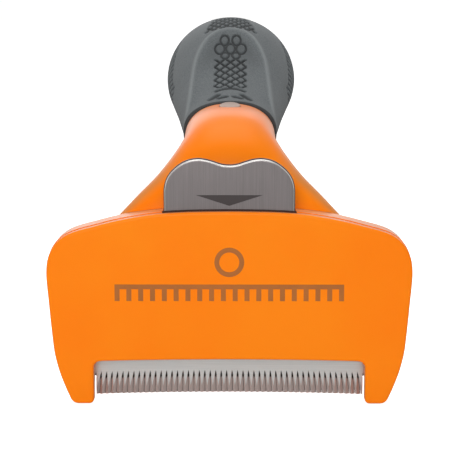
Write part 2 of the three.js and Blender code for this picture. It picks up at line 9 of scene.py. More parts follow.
import bpy
import numpy as np
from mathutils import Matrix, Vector


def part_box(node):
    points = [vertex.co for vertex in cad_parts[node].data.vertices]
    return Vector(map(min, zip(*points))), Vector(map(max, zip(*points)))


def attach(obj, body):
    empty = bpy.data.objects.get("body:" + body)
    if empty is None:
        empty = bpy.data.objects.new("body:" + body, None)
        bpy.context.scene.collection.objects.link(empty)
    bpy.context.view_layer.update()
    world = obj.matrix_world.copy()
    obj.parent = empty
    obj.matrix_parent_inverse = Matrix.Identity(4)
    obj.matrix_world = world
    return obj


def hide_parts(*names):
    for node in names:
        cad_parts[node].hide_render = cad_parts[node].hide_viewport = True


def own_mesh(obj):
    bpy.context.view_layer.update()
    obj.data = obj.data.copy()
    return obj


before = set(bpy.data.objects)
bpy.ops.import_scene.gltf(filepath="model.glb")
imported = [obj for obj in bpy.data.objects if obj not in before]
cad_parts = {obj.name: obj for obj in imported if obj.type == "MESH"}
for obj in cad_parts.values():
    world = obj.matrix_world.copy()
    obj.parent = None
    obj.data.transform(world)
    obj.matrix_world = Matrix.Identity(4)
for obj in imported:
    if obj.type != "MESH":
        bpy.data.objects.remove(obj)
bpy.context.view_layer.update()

COVER_LOW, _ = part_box("front_cover")
ORIGIN = np.array([0.0, COVER_LOW.y, COVER_LOW.z])  # metres
MM = 0.001
scene = bpy.context.scene

# ------------------------------------------------------------------ shared sizes
COVER_DEPTH = 3.0
COVER_WALL = 1.8
COVER_EDGE_RADIUS = 0.72

REAR_FRONT_Y = 3.15
REAR_BACK_Y = 12.0
REAR_RADIUS = 3.4

# the arched opening between the lugs
RECESS_HALF = 34.15
RECESS_TOP = 11.35
RECESS_SAG = 0.5

BLADE_HALF = 33.95
BLADE_EAR_HALF = 34.8
BLADE_EAR_Z = 6.3
BLADE_FRONT_Y = 4.8
BLADE_BACK_Y = 6.6
BLADE_TOP = 23.0
BLADE_SCREW_X = 22
BLADE_SCREW_Z = 20

# the pair of springs beside the button's centre
SPRING_X = 11.0
SPRING_Y = 5.1

# x, z, y of the head's seat, y of the head's back; one screw on each side
COVER_SCREWS = [(38.4, 13.5, 8.2, 9.7), (39.2, 35, 9.6, 11.2)]
COVER_SCREW_HOLE = 1.15
HANDLE_SCREW_YS = (64, 114)

# right half of the head's outline, from the top centre to the lug's foot: x, z
HEAD_HALF = [
    (0, 48.8), (6, 48.75), (12, 48.6), (18.1, 48.2), (23.8, 47.37), (29.35, 46.25), (33.8, 45.1),
    (37.5, 44.12), (40.2, 43.15), (42.3, 41.8), (43.9, 40.05), (44.95, 38.1), (45.55, 35.9),
    (45.75, 33.2), (45.6, 30.2), (45.25, 26.3), (44.75, 20.4), (44.1, 14.0), (43.5, 10.9),
    (42.68, 7.9), (41.55, 4.8), (40.4, 2.1), (39.75, 0.85), (39.0, 0.22), (38.0, 0),
]


# --------------------------------------------------------------- curves and outlines
def to_m(points):
    """drawing millimetres to scene metres"""
    return np.asarray(points, float) * MM + ORIGIN


def turn(count):
    """angles evenly round a full turn"""
    return np.linspace(0, 2 * np.pi, count, endpoint=False)


def quarter(steps):
    """angles from 0 to a quarter turn, both ends included"""
    return np.linspace(0, math.pi / 2, steps + 1)


def oval(centre, radii, count):
    angles = turn(count)
    return np.stack(
        [centre[0] + radii[0] * np.cos(angles), centre[1] + radii[1] * np.sin(angles)], 1
    )


def mirror(points):
    """the points in reverse order with x negated, to close a half outline"""
    return np.asarray(points, float)[::-1] * (-1, 1)


def along(table, column, x):
    """smooth curve through a table's column, its first column being the variable"""
    xs = np.array([row[0] for row in table], float)
    ys = np.array([row[column] for row in table], float)
    x = np.clip(np.asarray(x, float), xs[0], xs[-1])
    i = np.clip(np.searchsorted(xs, x, side="right") - 1, 0, len(xs) - 2)
    slope = np.zeros(len(xs))
    slope[1:-1] = (ys[2:] - ys[:-2]) / (xs[2:] - xs[:-2])
    slope[0] = (ys[1] - ys[0]) / (xs[1] - xs[0])
    slope[-1] = (ys[-1] - ys[-2]) / (xs[-1] - xs[-2])
    gap = xs[i + 1] - xs[i]
    t = (x - xs[i]) / gap
    t2, t3 = t * t, t * t * t
    return (
        (2 * t3 - 3 * t2 + 1) * ys[i]
        + (t3 - 2 * t2 + t) * gap * slope[i]
        + (-2 * t3 + 3 * t2) * ys[i + 1]
        + (t3 - t2) * gap * slope[i + 1]
    )


def columns(table, x):
    """every column of a table but the first, read at x"""
    return [along(table, column, x) for column in range(1, len(table[0]))]


def spline(points, per_span):
    """uniform Catmull-Rom curve through the points"""
    p = np.asarray(points, float)
    last = len(p) - 1
    t = np.linspace(0, 1, per_span, endpoint=False)[:, None]
    spans = []
    for i in range(last):
        before, start, end, after = p[max(i - 1, 0)], p[i], p[i + 1], p[min(i + 2, last)]
        v0, v1 = (end - before) / 2, (after - start) / 2
        spans.append(
            (2 * start - 2 * end + v0 + v1) * t**3
            + (-3 * start + 3 * end - 2 * v0 - v1) * t**2
            + v0 * t
            + start
        )
    return np.concatenate(spans + [p[-1:]])


def respace(points, step):
    """the same path with its points about one step apart"""
    lengths = np.linalg.norm(np.diff(points, axis=0), axis=1)
    travelled = np.concatenate([[0], np.cumsum(lengths)])
    count = max(2, int(round(travelled[-1] / step)))
    wanted = np.linspace(0, travelled[-1], count + 1)
    return np.stack([np.interp(wanted, travelled, c) for c in points.T], 1)


def power(value, exponent):
    return np.sign(value) * np.abs(value) ** exponent


def ramp(x, start, end):
    """smooth step from 0 at start to 1 at end"""
    t = np.clip((x - start) / (end - start), 0, 1)
    return t * t * (3 - 2 * t)


def band(x, rise, fall):
    """1 between the rise and the fall, each a (start, end) pair"""
    return ramp(x, *rise) * (1 - ramp(x, *fall))


def anticlockwise(points):
    points = np.asarray(points, float)
    x, y = points.T
    area = (x * np.roll(y, -1) - np.roll(x, -1) * y).sum()
    return points if area > 0 else points[::-1]


def inset(points, distance):
    """move an anticlockwise outline inwards, with the reach at sharp corners limited"""
    before = points - np.roll(points, 1, 0)
    after = np.roll(points, -1, 0) - points
    before /= np.linalg.norm(before, axis=1)[:, None]
    after /= np.linalg.norm(after, axis=1)[:, None]
    normal_before = np.stack([-before[:, 1], before[:, 0]], 1)
    normal_after = np.stack([-after[:, 1], after[:, 0]], 1)
    middle = normal_before + normal_after
    middle /= np.maximum(np.linalg.norm(middle, axis=1)[:, None], 1e-9)
    reach = 1 / np.maximum((middle * normal_before).sum(1), 0.55)
    return points + middle * (distance * reach)[:, None]


# ----------------------------------------------------------------------- solids
def new_object(name, points, faces):
    """mesh object from millimetre points, with its faces turned outwards"""
    mesh = bpy.data.meshes.new(name)
    mesh.from_pydata(to_m(points).tolist(), [], faces)
    mesh.validate()
    mesh.update()
    obj = bpy.data.objects.new(name, mesh)
    scene.collection.objects.link(obj)
    # a negative signed volume means the faces look inwards
    mesh.calc_loop_triangles()
    corners = np.empty(len(mesh.loop_triangles) * 3, np.int32)
    mesh.loop_triangles.foreach_get("vertices", corners)
    places = np.empty(len(mesh.vertices) * 3)
    mesh.vertices.foreach_get("co", places)
    t = places.reshape(-1, 3)[corners.reshape(-1, 3)]
    if np.einsum("ij,ij->i", t[:, 0], np.cross(t[:, 1], t[:, 2])).sum() < 0:
        mesh.flip_normals()
    return obj


def side_faces(ring_count, n, closed=False):
    """quads between neighbouring rings of n points; closed also joins the last to the first"""
    faces = []
    for r in range(ring_count if closed else ring_count - 1):
        a, b = r * n, (r + 1) % ring_count * n
        faces += [(a + i, a + (i + 1) % n, b + (i + 1) % n, b + i) for i in range(n)]
    return faces


def fan_loft(name, rings):
    """closed solid from an array of rings [ring, point, 3], with a fan at each end"""
    count, n = rings.shape[:2]
    first, last = count * n, (count - 1) * n
    points = np.concatenate([rings.reshape(-1, 3), [rings[0].mean(0)], [rings[-1].mean(0)]])
    faces = side_faces(count, n)
    faces += [(first, (i + 1) % n, i) for i in range(n)]
    faces += [(first + 1, last + i, last + (i + 1) % n) for i in range(n)]
    return new_object(name, points, faces)


def loft(name, rings, closed=False):
    """solid from a list of equal rings, with flat ends, or closed into a hoop"""
    n, count = len(rings[0]), len(rings)
    faces = side_faces(count, n, closed)
    if not closed:
        faces.append(tuple(range(n))[::-1])
        faces.append(tuple(range((count - 1) * n, count * n)))
    return new_object(name, np.concatenate(rings), faces)


def plate(name, points, rings):
    """outline in x, z swept through rings of (inset, y)"""
    points = anticlockwise(points)
    return loft(name, [np.insert(inset(points, d), 1, y, axis=1) for d, y in rings])


def prism(points, axis, ends, name="cut"):
    """outline in the other two axes, in alphabetical order, extruded along an axis"""
    points = anticlockwise(points)
    return loft(name, [np.insert(points, "xyz".index(axis), end, axis=1) for end in ends])


def box(xs, ys, zs):
    (x0, x1), (z0, z1) = xs, zs
    return prism([(x0, z0), (x1, z0), (x1, z1), (x0, z1)], "y", ys)


def wide_box(half, ys, zs):
    """box centred on x"""
    return box((-half, half), ys, zs)


def rod(axis, radius, ends, at, sides):
    return prism(oval(at, (radius, radius), sides), axis, ends)


def settle(obj):
    """apply every modifier to the mesh"""
    bpy.context.view_layer.update()
    depsgraph = bpy.context.evaluated_depsgraph_get()
    mesh = bpy.data.meshes.new_from_object(obj.evaluated_get(depsgraph))
    obj.modifiers.clear()
    old = obj.data
    obj.data = mesh
    bpy.data.meshes.remove(old)


def combine(obj, tool, operation):
    """boolean the tool into the object and delete the tool"""
    modifier = obj.modifiers.new("b", "BOOLEAN")
    modifier.operation = operation
    modifier.object = tool
    # guards against a Blender that lacks the manifold solver
    try:
        modifier.solver = "MANIFOLD"
    except TypeError:
        modifier.solver = "EXACT"
    settle(obj)
    mesh = tool.data
    bpy.data.objects.remove(tool)
    bpy.data.meshes.remove(mesh)


def cut(obj, tool):
    combine(obj, tool, "DIFFERENCE")


def join(obj, tool):
    combine(obj, tool, "UNION")


def keep_within(obj, tool):
    combine(obj, tool, "INTERSECT")


def finish_piece(obj, material, replaces=None, body="body", angle=30):
    """shade, paint and attach a piece, hiding the CAD part it replaces; edges sharper than the angle
    stay crisp
    """
    mesh = obj.data
    mesh.name = obj.name
    mesh.polygons.foreach_set("use_smooth", [True] * len(mesh.polygons))
    mesh.set_sharp_from_angle(angle=math.radians(angle))
    mesh.update()
    mesh.materials.clear()
    mesh.materials.append(material)
    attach(obj, body)
    if replaces:
        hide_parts(replaces)


# ---------------------------------------------------------------- shader graphs
class Graph:
    """A node tree; each input takes either a value or another node's output."""

    def __init__(self, owner):
        owner.use_nodes = True
        self.tree = owner.node_tree
        self.tree.nodes.clear()

    def fill(self, node, inputs):
        for key, value in inputs.items():
            if isinstance(value, bpy.types.NodeSocket):
                self.tree.links.new(value, node.inputs[key])
            else:
                node.inputs[key].default_value = value

    def node(self, kind, inputs=None, **settings):
        node = self.tree.nodes.new("ShaderNode" + kind)
        for key, value in settings.items():
            setattr(node, key, value)
        self.fill(node, inputs or {})
        return node

    def coords(self, scale=(1, 1, 1)):
        place = self.node("TexCoord").outputs["Object"]
        return self.node("Mapping", {"Scale": scale, "Vector": place}).outputs["Vector"]

    def noise(self, vector, scale, detail=2.0, roughness=0.5):
        inputs = {"Scale": scale, "Detail": detail, "Roughness": roughness, "Vector": vector}
        return self.node("TexNoise", inputs).outputs["Fac"]

    def span(self, value, over=(0.0, 1.0), to=(0.0, 1.0)):
        """map one range of a value, clamped, to another"""
        inputs = {"From Min": over[0], "From Max": over[1], "To Min": to[0], "To Max": to[1]}
        return self.node("MapRange", {**inputs, "Value": value}).outputs["Result"]

    def mix(self, factor, first, second):
        """blend two colours"""
        return self.node("Mix", {0: factor, 6: first, 7: second}, data_type="RGBA").outputs[2]

    def choose(self, factor, first, second):
        """blend two numbers"""
        return self.node("Mix", {0: factor, 2: first, 3: second}).outputs[0]

    def maths(self, operation, *values):
        return self.node("Math", dict(enumerate(values)), operation=operation).outputs[0]

    def xyz(self, vector):
        return self.node("SeparateXYZ", {0: vector}).outputs

    def facing(self):
        """0 where a surface faces the eye, 1 where it turns away"""
        return self.node("LayerWeight", {"Blend": 0.5}).outputs["Facing"]

    def bump(self, height, distance, strength, after=None):
        inputs = {"Distance": distance, "Strength": strength, "Height": height}
        if after is not None:
            inputs["Normal"] = after
        return self.node("Bump", inputs).outputs["Normal"]


def new_material(name):
    material = bpy.data.materials.new(name)
    graph = Graph(material)
    output = graph.node("OutputMaterial")
    surface = graph.node("BsdfPrincipled")
    graph.fill(output, {0: surface.outputs[0]})
    return material, graph, surface


def srgb(*channels):
    """linear colour from 0-255 screen values"""
    values = [c / 255.0 for c in channels]
    linear = [v / 12.92 if v <= 0.04045 else ((v + 0.055) / 1.055) ** 2.4 for v in values]
    return (*linear, 1.0)


def shade(colour, factor):
    return tuple(min(1, c * factor) for c in colour[:3]) + (1,)


# -------------------------------------------------------------------- materials
def orange_plastic(name, turn_start, painted_flank_shade=0.0):
    """turn_start is the facing value where the painted pale sheen and the glossier rim of the shape
    begin
    """
    material, g, surface = new_material(name)
    place = g.coords()
    cloud = g.noise(place, scale=38.0, detail=3.0)
    fine = g.noise(place, scale=5200.0)
    colour = g.mix(g.span(cloud, over=(0.35, 0.65)), srgb(255, 129, 2), srgb(255, 136, 5))
    painted_sheen = g.span(g.facing(), over=(turn_start, turn_start + 0.33), to=(0.0, 0.5))
    sheen_facing = painted_sheen.node.inputs["Value"].links[0].from_socket
    # painted sheen: a pale tint mixed into the colour where the surface turns away from the eye
    colour = g.mix(painted_sheen, colour, srgb(196, 150, 118))
    if painted_flank_shade:
        # painted shade: the sides are made duller than the middle where they turn from the eye
        across = g.maths("ABSOLUTE", g.xyz(place)["X"])
        flank_shade = g.maths(
            "MULTIPLY",
            g.span(across, over=(0.0115, 0.0175), to=(0.0, painted_flank_shade)),
            g.span(sheen_facing, over=(0.15, 0.4)),
        )
        colour = g.mix(flank_shade, colour, srgb(195, 134, 72))
    # a soft sheen where it turns away from the eye
    sheen_range = (turn_start - 0.07, turn_start + 0.28)
    g.fill(surface, {
        "Base Color": colour,
        "Roughness": g.span(cloud, over=(0.3, 0.7), to=(0.33, 0.41)),
        "Subsurface Weight": 0.06,
        "Subsurface Radius": (0.0016, 0.0006, 0.0002),
        "IOR": 1.46,
        "Specular IOR Level": g.span(g.facing(), over=sheen_range, to=(0.16, 1.0)),
        "Normal": g.bump(fine, distance=0.000006, strength=0.6),
    })
    return material


def grip_rubber():
    material, g, surface = new_material("grip_rubber")
    place = g.coords()
    cloud = g.noise(place, scale=45.0, detail=4.0, roughness=0.6)
    grain = g.noise(place, scale=2600.0, detail=3.0, roughness=0.65)
    pits = g.noise(place, scale=900.0)
    pale = srgb(104, 109, 111)
    colour = g.mix(g.span(grain, over=(0.35, 0.65)), srgb(74, 79, 81), pale)
    colour = g.mix(g.span(cloud, over=(0.4, 0.75), to=(0.0, 0.25)), colour, pale)
    # mesh attribute, the value where it starts to show, its full strength, its colour: a painted
    # highlight on the scoop's crest, painted shade in the scoop's far hollow, and painted shade in
    # the grooves and round the collar
    for attribute, start, strength, tone in (
        ("crest", 0.0, 0.5, srgb(142, 147, 148)),
        ("hollow", 0.0, 0.66, srgb(62, 66, 68)),
        ("groove", 0.15, 0.92, srgb(18, 21, 23)),
    ):
        mark = g.node("Attribute", attribute_name=attribute).outputs["Fac"]
        colour = g.mix(g.span(mark, over=(start, 1.0), to=(0.0, strength)), colour, tone)
    grain_bump = g.bump(grain, distance=0.00005, strength=0.75)
    g.fill(surface, {
        "Base Color": colour,
        "Roughness": g.span(grain, over=(0.3, 0.7), to=(0.62, 0.8)),
        "Sheen Weight": 0.04,
        "Sheen Roughness": 0.5,
        "Specular IOR Level": 0.35,
        "Normal": g.bump(pits, distance=0.00005, strength=0.35, after=grain_bump),
    })
    return material


# noise scales that are low along the axis the brushing runs
BRUSHED_X = (60, 900, 4200)
BRUSHED_Z = (4200, 900, 60)


def brushed_metal(name, colour, roughness, contrast, brushing=BRUSHED_Z):
    material, g, surface = new_material(name)
    lines = g.noise(g.coords(brushing), scale=1.0, detail=3.0, roughness=0.7)
    cloud = g.noise(g.coords(), scale=60.0)
    dark, light = shade(colour, 1 - contrast), shade(colour, 1 + contrast)
    rough_range = (roughness - 0.04, roughness + 0.06)
    g.fill(surface, {
        "Base Color": g.mix(g.span(lines, over=(0.3, 0.7)), dark, light),
        "Metallic": 1.0,
        "Roughness": g.span(cloud, over=(0.3, 0.7), to=rough_range),
        "Normal": g.bump(lines, distance=0.000012, strength=0.35),
    })
    return material


def comb_metal():
    """steel with painted shade that deepens with the depth of the ground grooves"""
    material, g, surface = new_material("comb_steel")
    lines = g.noise(g.coords(BRUSHED_X), scale=1.0, detail=3.0, roughness=0.7)
    flat = g.mix(g.span(lines, over=(0.3, 0.7)), srgb(216, 221, 220), srgb(228, 232, 231))
    depth = g.xyz(g.coords((1000, 1000, 1000)))["Y"]
    face = ORIGIN[1] * 1000 + BLADE_FRONT_Y
    cut_range = (face + 0.01, face + 0.04)
    deep_range = (face + 0.82, face + 1.05)
    normal = g.node("NewGeometry").outputs["True Normal"]
    # 0 on faces that look backwards, so they keep the flat colour
    not_back = g.span(g.xyz(normal)["Y"], over=(0.15, 0.3), to=(1.0, 0.0))
    # painted shade: the cut faces are tinted a little darker and warmer
    painted_cut_shade = g.maths("MULTIPLY", g.span(depth, over=cut_range), not_back)
    colour = g.mix(painted_cut_shade, flat, srgb(206, 194, 190))
    # painted shadow: the steel turns dark brown deep in the pockets
    painted_pocket_shadow = g.maths("MULTIPLY", g.span(depth, over=deep_range), not_back)
    colour = g.mix(painted_pocket_shadow, colour, srgb(68, 60, 58))
    cut_roughness = g.span(depth, over=cut_range, to=(0.0, 0.28))
    cloud = g.span(g.noise(g.coords(), scale=60.0), over=(0.3, 0.7), to=(0.3, 0.38))
    g.fill(surface, {
        "Base Color": colour,
        "Metallic": 0.85,
        "Roughness": g.maths("ADD", cut_roughness, cloud),
        "Normal": g.bump(lines, distance=0.000012, strength=0.25),
    })
    return material


def grained(name, colour, roughness, metallic=0.0, scale=1800.0, depth=0.00001, variation=0.12):
    """one colour with a slight clouding and a fine grain"""
    material, g, surface = new_material(name)
    place = g.coords()
    grain = g.noise(place, scale=scale, detail=3.0)
    cloud = g.noise(place, scale=120.0)
    dark, light = shade(colour, 1 - variation), shade(colour, 1 + variation)
    rough_range = (roughness - 0.04, roughness + 0.06)
    g.fill(surface, {
        "Base Color": g.mix(g.span(cloud, over=(0.35, 0.65)), dark, light),
        "Metallic": metallic,
        "Roughness": g.span(grain, over=(0.3, 0.7), to=rough_range),
        "Normal": g.bump(grain, distance=depth, strength=0.5),
    })
    return material


PRINT_GRAIN = dict(scale=2500.0, depth=0.000004, variation=0.06)
INLAY_GRAIN = dict(scale=2200.0, depth=0.000006, variation=0.05)

ORANGE = orange_plastic("orange_plastic", turn_start=0.62)
# the neck's orange gets painted shade on its flanks
NECK_ORANGE = orange_plastic("orange_plastic_neck", turn_start=0.72, painted_flank_shade=0.6)
RUBBER = grip_rubber()
COMB_STEEL = comb_metal()
PLATE = brushed_metal("button_metal", srgb(138, 132, 132), roughness=0.36, contrast=0.10)
# the bevel's metal is polished and smoother, and its paler colour is a painted highlight
POLISH_AND_HIGHLIGHT = brushed_metal("button_bevel", srgb(196, 194, 191), roughness=0.28, contrast=0.04)
EJECTOR_STEEL = brushed_metal(
    "ejector_steel", srgb(170, 168, 164), roughness=0.36, contrast=0.12, brushing=BRUSHED_X
)
ZINC = grained("zinc_steel", srgb(176, 176, 172), roughness=0.36, metallic=1.0)
SPRING_STEEL = grained("spring_steel", srgb(168, 168, 170), roughness=0.3, metallic=1.0)
DARK = grained("dark_plastic", srgb(66, 62, 62), roughness=0.5)
PRINT_BROWN = grained("print_brown", srgb(170, 96, 20), roughness=0.5, **PRINT_GRAIN)
PRINT_DARK = grained("print_dark", srgb(56, 49, 49), roughness=0.5, **PRINT_GRAIN)
# painted shadow: a near-black brown for the strip in front of the button's slot
SLOT_SHADOW = grained("slot_shadow_paint", srgb(46, 20, 10), roughness=0.7, **PRINT_GRAIN)
INLAY = grained("inlay_plastic", srgb(164, 138, 124), roughness=0.4, **INLAY_GRAIN)


# ----------------------------------------------------------------- front cover
def head_outline(scale=(1, 1), lift=0.0, recess_half=RECESS_HALF, top=RECESS_TOP, step=0.28):
    """the head's whole outline in x, z: HEAD_HALF, the lug, then the arched recess"""
    foot_x, foot_z = HEAD_HALF[-1]
    foot_radius, corner_radius = 1.2, 1.6
    lead_in, lead_out = (-6, 48.75), (foot_x - 1, foot_z)
    curve = respace(spline([lead_in, *HEAD_HALF, lead_out], 30), 0.1)
    curve = curve[np.argmin(np.abs(curve[:, 0]) + (curve[:, 1] < 40) * 99):]
    end = np.argmin(np.hypot(curve[:, 0] - foot_x, curve[:, 1] - foot_z))
    curve = respace(curve[: end + 1], step)
    curve[0, 0] = 0
    curve[-1] = (foot_x, foot_z)

    side_top = top - RECESS_SAG
    foot = quarter(8)[1:]
    corner = quarter(11)
    side = np.linspace(lift + foot_radius, side_top - corner_radius, 22)[1:-1]
    arch = np.linspace(recess_half - corner_radius, 0, 70)[1:-1]
    half = np.concatenate([
        curve * np.array(scale) + np.array([0, lift]),
        [[recess_half + foot_radius, lift]],
        np.stack([
            recess_half + foot_radius - foot_radius * np.sin(foot),
            lift + foot_radius - foot_radius * np.cos(foot),
        ], 1),
        np.stack([np.full(len(side), recess_half), side], 1),
        np.stack([
            recess_half - corner_radius + corner_radius * np.cos(corner),
            side_top - corner_radius + corner_radius * np.sin(corner),
        ], 1),
        np.stack([arch, top - RECESS_SAG * (arch / recess_half) ** 2], 1),
    ])
    return np.concatenate([half, [[0, top]], mirror(half[1:])])


def front_cover():
    radius = COVER_EDGE_RADIUS
    rings = [(radius + 0.12, 0.0), (radius, 0.0)]
    rings += [(radius * (1 - np.sin(a)), radius * (1 - np.cos(a))) for a in quarter(8)[1:]]
    rings += [(0, COVER_DEPTH - 0.12), (0.04, COVER_DEPTH - 0.04), (0.12, COVER_DEPTH)]
    cover = plate("front_cover_shell", head_outline(), rings)
    # pockets in the back for the blade and the button
    pocket_depth = (COVER_WALL, COVER_DEPTH + 1)
    cut(cover, wide_box(RECESS_HALF + 0.1, pocket_depth, (9, 24.5)))
    cut(cover, wide_box(16.9, pocket_depth, (24, 60)))
    for x, z, _, _ in COVER_SCREWS:
        for side in (1, -1):
            cut(cover, rod("y", COVER_SCREW_HOLE, (1.45, COVER_DEPTH + 1), (side * x, z), 24))
    finish_piece(cover, ORANGE, "front_cover", angle=28)


# ------------------------------------------------------------- neck and handle core
# station, y and z of the upper edge, y and z of the under edge, half width
NECK = [
    (-1, 7.6, 30, 11.4, 15, 33.0),
    (0, 8.0, 39, 15.5, 25, 35.4),
    (1, 8.0, 47, 20.5, 34, 32.3),
    (2, 8.4, 54, 26.5, 42, 25.8),
    (3, 10.2, 60.4, 31.5, 47.2, 19.6),
    (4, 14.4, 66.2, 36, 50.8, 15.2),
    (5, 21.5, 70.4, 39, 52.8, 12.7),
    (6, 31, 72.5, 41, 53.6, 12.3),
    (7, 42, 73.2, 42, 53.9, 12.3),
]
# y, half width, z of the widest level, z of the top, z of the bottom
CORE = [
    (36, 9.4, 63.8, 70.0, 57.2),
    (50, 9.6, 66.0, 72.6, 58.4),
    (60, 9.9, 68.8, 75.4, 60.2),
    (80, 11.4, 74.2, 82.6, 63.4),
    (100, 12.4, 76.6, 87.6, 65.0),
    (120, 11.8, 77.0, 87.0, 66.6),
    (134, 8.8, 76.5, 83.6, 69.2),
    (140, 4.5, 76.0, 79.6, 72.4),
]
# the parting line of the two mouldings: y, z
SEAM = [
    (-5, 44.2), (13, 44.2), (16, 45.4), (18.2, 48.0), (21, 53.6), (25, 58.2), (30, 61.4),
    (36, 63.2), (43, 64.2), (60, 68.8), (80, 74.2), (100, 76.6), (120, 77.0), (160, 76.4),
]
SEAM_HALF_GAP = 0.06
SHELL_WALL = 2.2
NECK_STATIONS, NECK_SIDES = ((120, 160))
SEAM_UP = [(y, z + SEAM_HALF_GAP) for y, z in SEAM]
SEAM_DOWN = [(y, z - SEAM_HALF_GAP) for y, z in SEAM]
ABOVE_ALL = [(160, 130), (-5, 130)]
BELOW_ALL = [(-5, -20), (160, -20)]
BEYOND = (-70, 70)  # x span wider than any piece
BOSS_RADIUS = 3.0

# the oval inlay on top of the neck and its seat
INLAY_Y = 37.1
INLAY_RADII = (2.86, 3.76)
INLAY_GAP = 0.2
INLAY_SEAT_Z = 72.0
INLAY_SIDES = 72


def neck_rings(stations, sides, wall=0.0):
    top_y, top_z, under_y, under_z, half_width = columns(NECK, stations[:, None])
    half_width = half_width - wall * 1.3
    rise_y, rise_z = top_y - under_y, top_z - under_z
    thickness = np.hypot(rise_y, rise_z)
    half = thickness / 2 - wall
    angles = turn(sides)[None]
    roundness = 2 / 2.3
    across, up = power(np.cos(angles), roundness), power(np.sin(angles), roundness)
    return np.stack([
        half_width * across,
        (top_y + under_y) / 2 + rise_y / thickness * half * up,
        (top_z + under_z) / 2 + rise_z / thickness * half * up,
    ], -1)


def neck_loft(name):
    return fan_loft(name, neck_rings(np.linspace(-1, 7, NECK_STATIONS), NECK_SIDES))


def core_rings(y, sides, wall=0.0):
    half_width, middle, top, bottom = columns(CORE, y[:, None])
    angles = turn(sides)[None]
    up = np.sin(angles)
    z = middle + np.where(up > 0, top - middle - wall, middle - bottom - wall) * up
    across = (half_width - wall) * np.cos(angles)
    return np.stack([across, np.broadcast_to(y[:, None], z.shape), z], -1)


def handle_core():
    return fan_loft("cut", core_rings(np.linspace(41, 140, 60), 56))


def hollow(shell):
    cut(shell, fan_loft("cut", neck_rings(np.linspace(0.55, 6, 40), 60, SHELL_WALL)))
    cut(shell, fan_loft("cut", core_rings(np.linspace(29, 136, 50), 48, SHELL_WALL)))


def rear_head(margin, name):
    """the back half of the head, solid; the margin grows it all round"""
    back, radius = REAR_BACK_Y + margin, REAR_RADIUS
    front = REAR_FRONT_Y - 2
    rounding = 1.0
    rings = [(0, REAR_FRONT_Y - 0.6 - margin), (0, back - rounding)]
    rings += [
        (rounding * (1 - np.cos(a)), back - rounding + rounding * np.sin(a))
        for a in quarter(4)[1:]
    ]
    outline = head_outline(
        scale=(1.003 + margin / 45, 1.0025 + margin / 24),
        lift=0.1 - margin,
        recess_half=RECESS_HALF + 0.4 - margin,
        top=RECESS_TOP - 0.9 - margin,
        step=0.4,
    )
    head = plate(name, outline, rings)
    # side profile in y, z: the back slopes out from the lugs and rounds over at the top
    top, round_top = 50.5 + margin, 49.1 + margin
    profile = [(front, -3), (7.4, -3), (8.1, 2), (9.2, 8), (10.8, 15), (11.7, 21), (back, 27)]
    profile += [
        (back - radius + radius * np.cos(a), round_top - radius + radius * np.sin(a))
        for a in quarter(16)
    ]
    profile += [(back - radius - 0.6, top), (front, top)]
    keep_within(head, prism(profile, "x", (-60, 60)))
    # plan in x, y, with both back corners rounded
    half_width, corner = 46.2, radius * 1.2
    plan = [(half_width, front)]
    plan += [
        (half_width - corner + corner * np.cos(a), back - corner + corner * np.sin(a))
        for a in quarter(16)
    ]
    keep_within(head, prism([*plan, *mirror(plan)], "z", (-5, 60)))
    return head


def neck_top():
    """upper half of neck and handle: the concave surface behind the button"""
    upper = SEAM_UP + ABOVE_ALL
    top = neck_loft("neck_top_shell")
    keep_within(top, prism(upper, "x", BEYOND))
    cut(top, rear_head(0.04, "cut"))
    core = handle_core()
    keep_within(core, prism(upper, "x", BEYOND))
    join(top, core)
    hollow(top)
    for y in HANDLE_SCREW_YS:
        roof = along(CORE, 3, y)
        start = along(SEAM, 1, y) + SEAM_HALF_GAP
        join(top, rod("z", BOSS_RADIUS, (start, roof - 1.0), (0, y), 24))
        cut(top, rod("z", 1.1, (50, roof - 2.0), (0, y), 20))
    seat_radii = [radius + INLAY_GAP for radius in INLAY_RADII]
    cut(top, prism(oval((0, INLAY_Y), seat_radii, INLAY_SIDES), "z", (INLAY_SEAT_Z, 80)))
    finish_piece(top, NECK_ORANGE, "neck_top", angle=32)


def soften(obj):
    """remesh and relax, so that the joints get soft edges"""
    remesh = obj.modifiers.new("r", "REMESH")
    remesh.mode = "VOXEL"
    remesh.voxel_size = 0.42 * MM
    relax = obj.modifiers.new("s", "SMOOTH")
    relax.factor = 0.5
    relax.iterations = 7
    settle(obj)


def cut_pockets(rear):
    """pockets in the front of the rear body"""
    above_blade = BLADE_TOP + 0.2
    # half width, y span, z span
    for half, ys, zs in (
        (33.75, (2, 6.75), (5, above_blade)),  # blade
        (BLADE_EAR_HALF + 0.2, (BLADE_FRONT_Y - 0.3, 6.9), (BLADE_EAR_Z - 0.4, above_blade)),
        (31.2, (6, 8.35), (12.3, 22.2)),  # deeper bay behind the blade
        (8.5, (2, 3.5), (20, 30)),  # shallow step at the centre
        (16.7, (2, 7.4), (26.5, 60)),  # button
    ):
        cut(rear, wide_box(half, ys, zs))
    # a hollow each side of the button that leaves a post round the upper cover screw
    post_x, post_z = COVER_SCREWS[1][:2]
    post_radius = 3.1
    for side in (-1, 1):
        bay = box(sorted((side * 18.4, side * 41.2)), (2, 9.8), (25.4, 39.6))
        cut(bay, rod("y", post_radius, (0, 20), (side * post_x, post_z), 32))
        post_zs = (post_z - post_radius, post_z + post_radius)
        cut(bay, box(sorted((side * post_x, side * 45)), (0, 20), post_zs))
        cut(rear, bay)


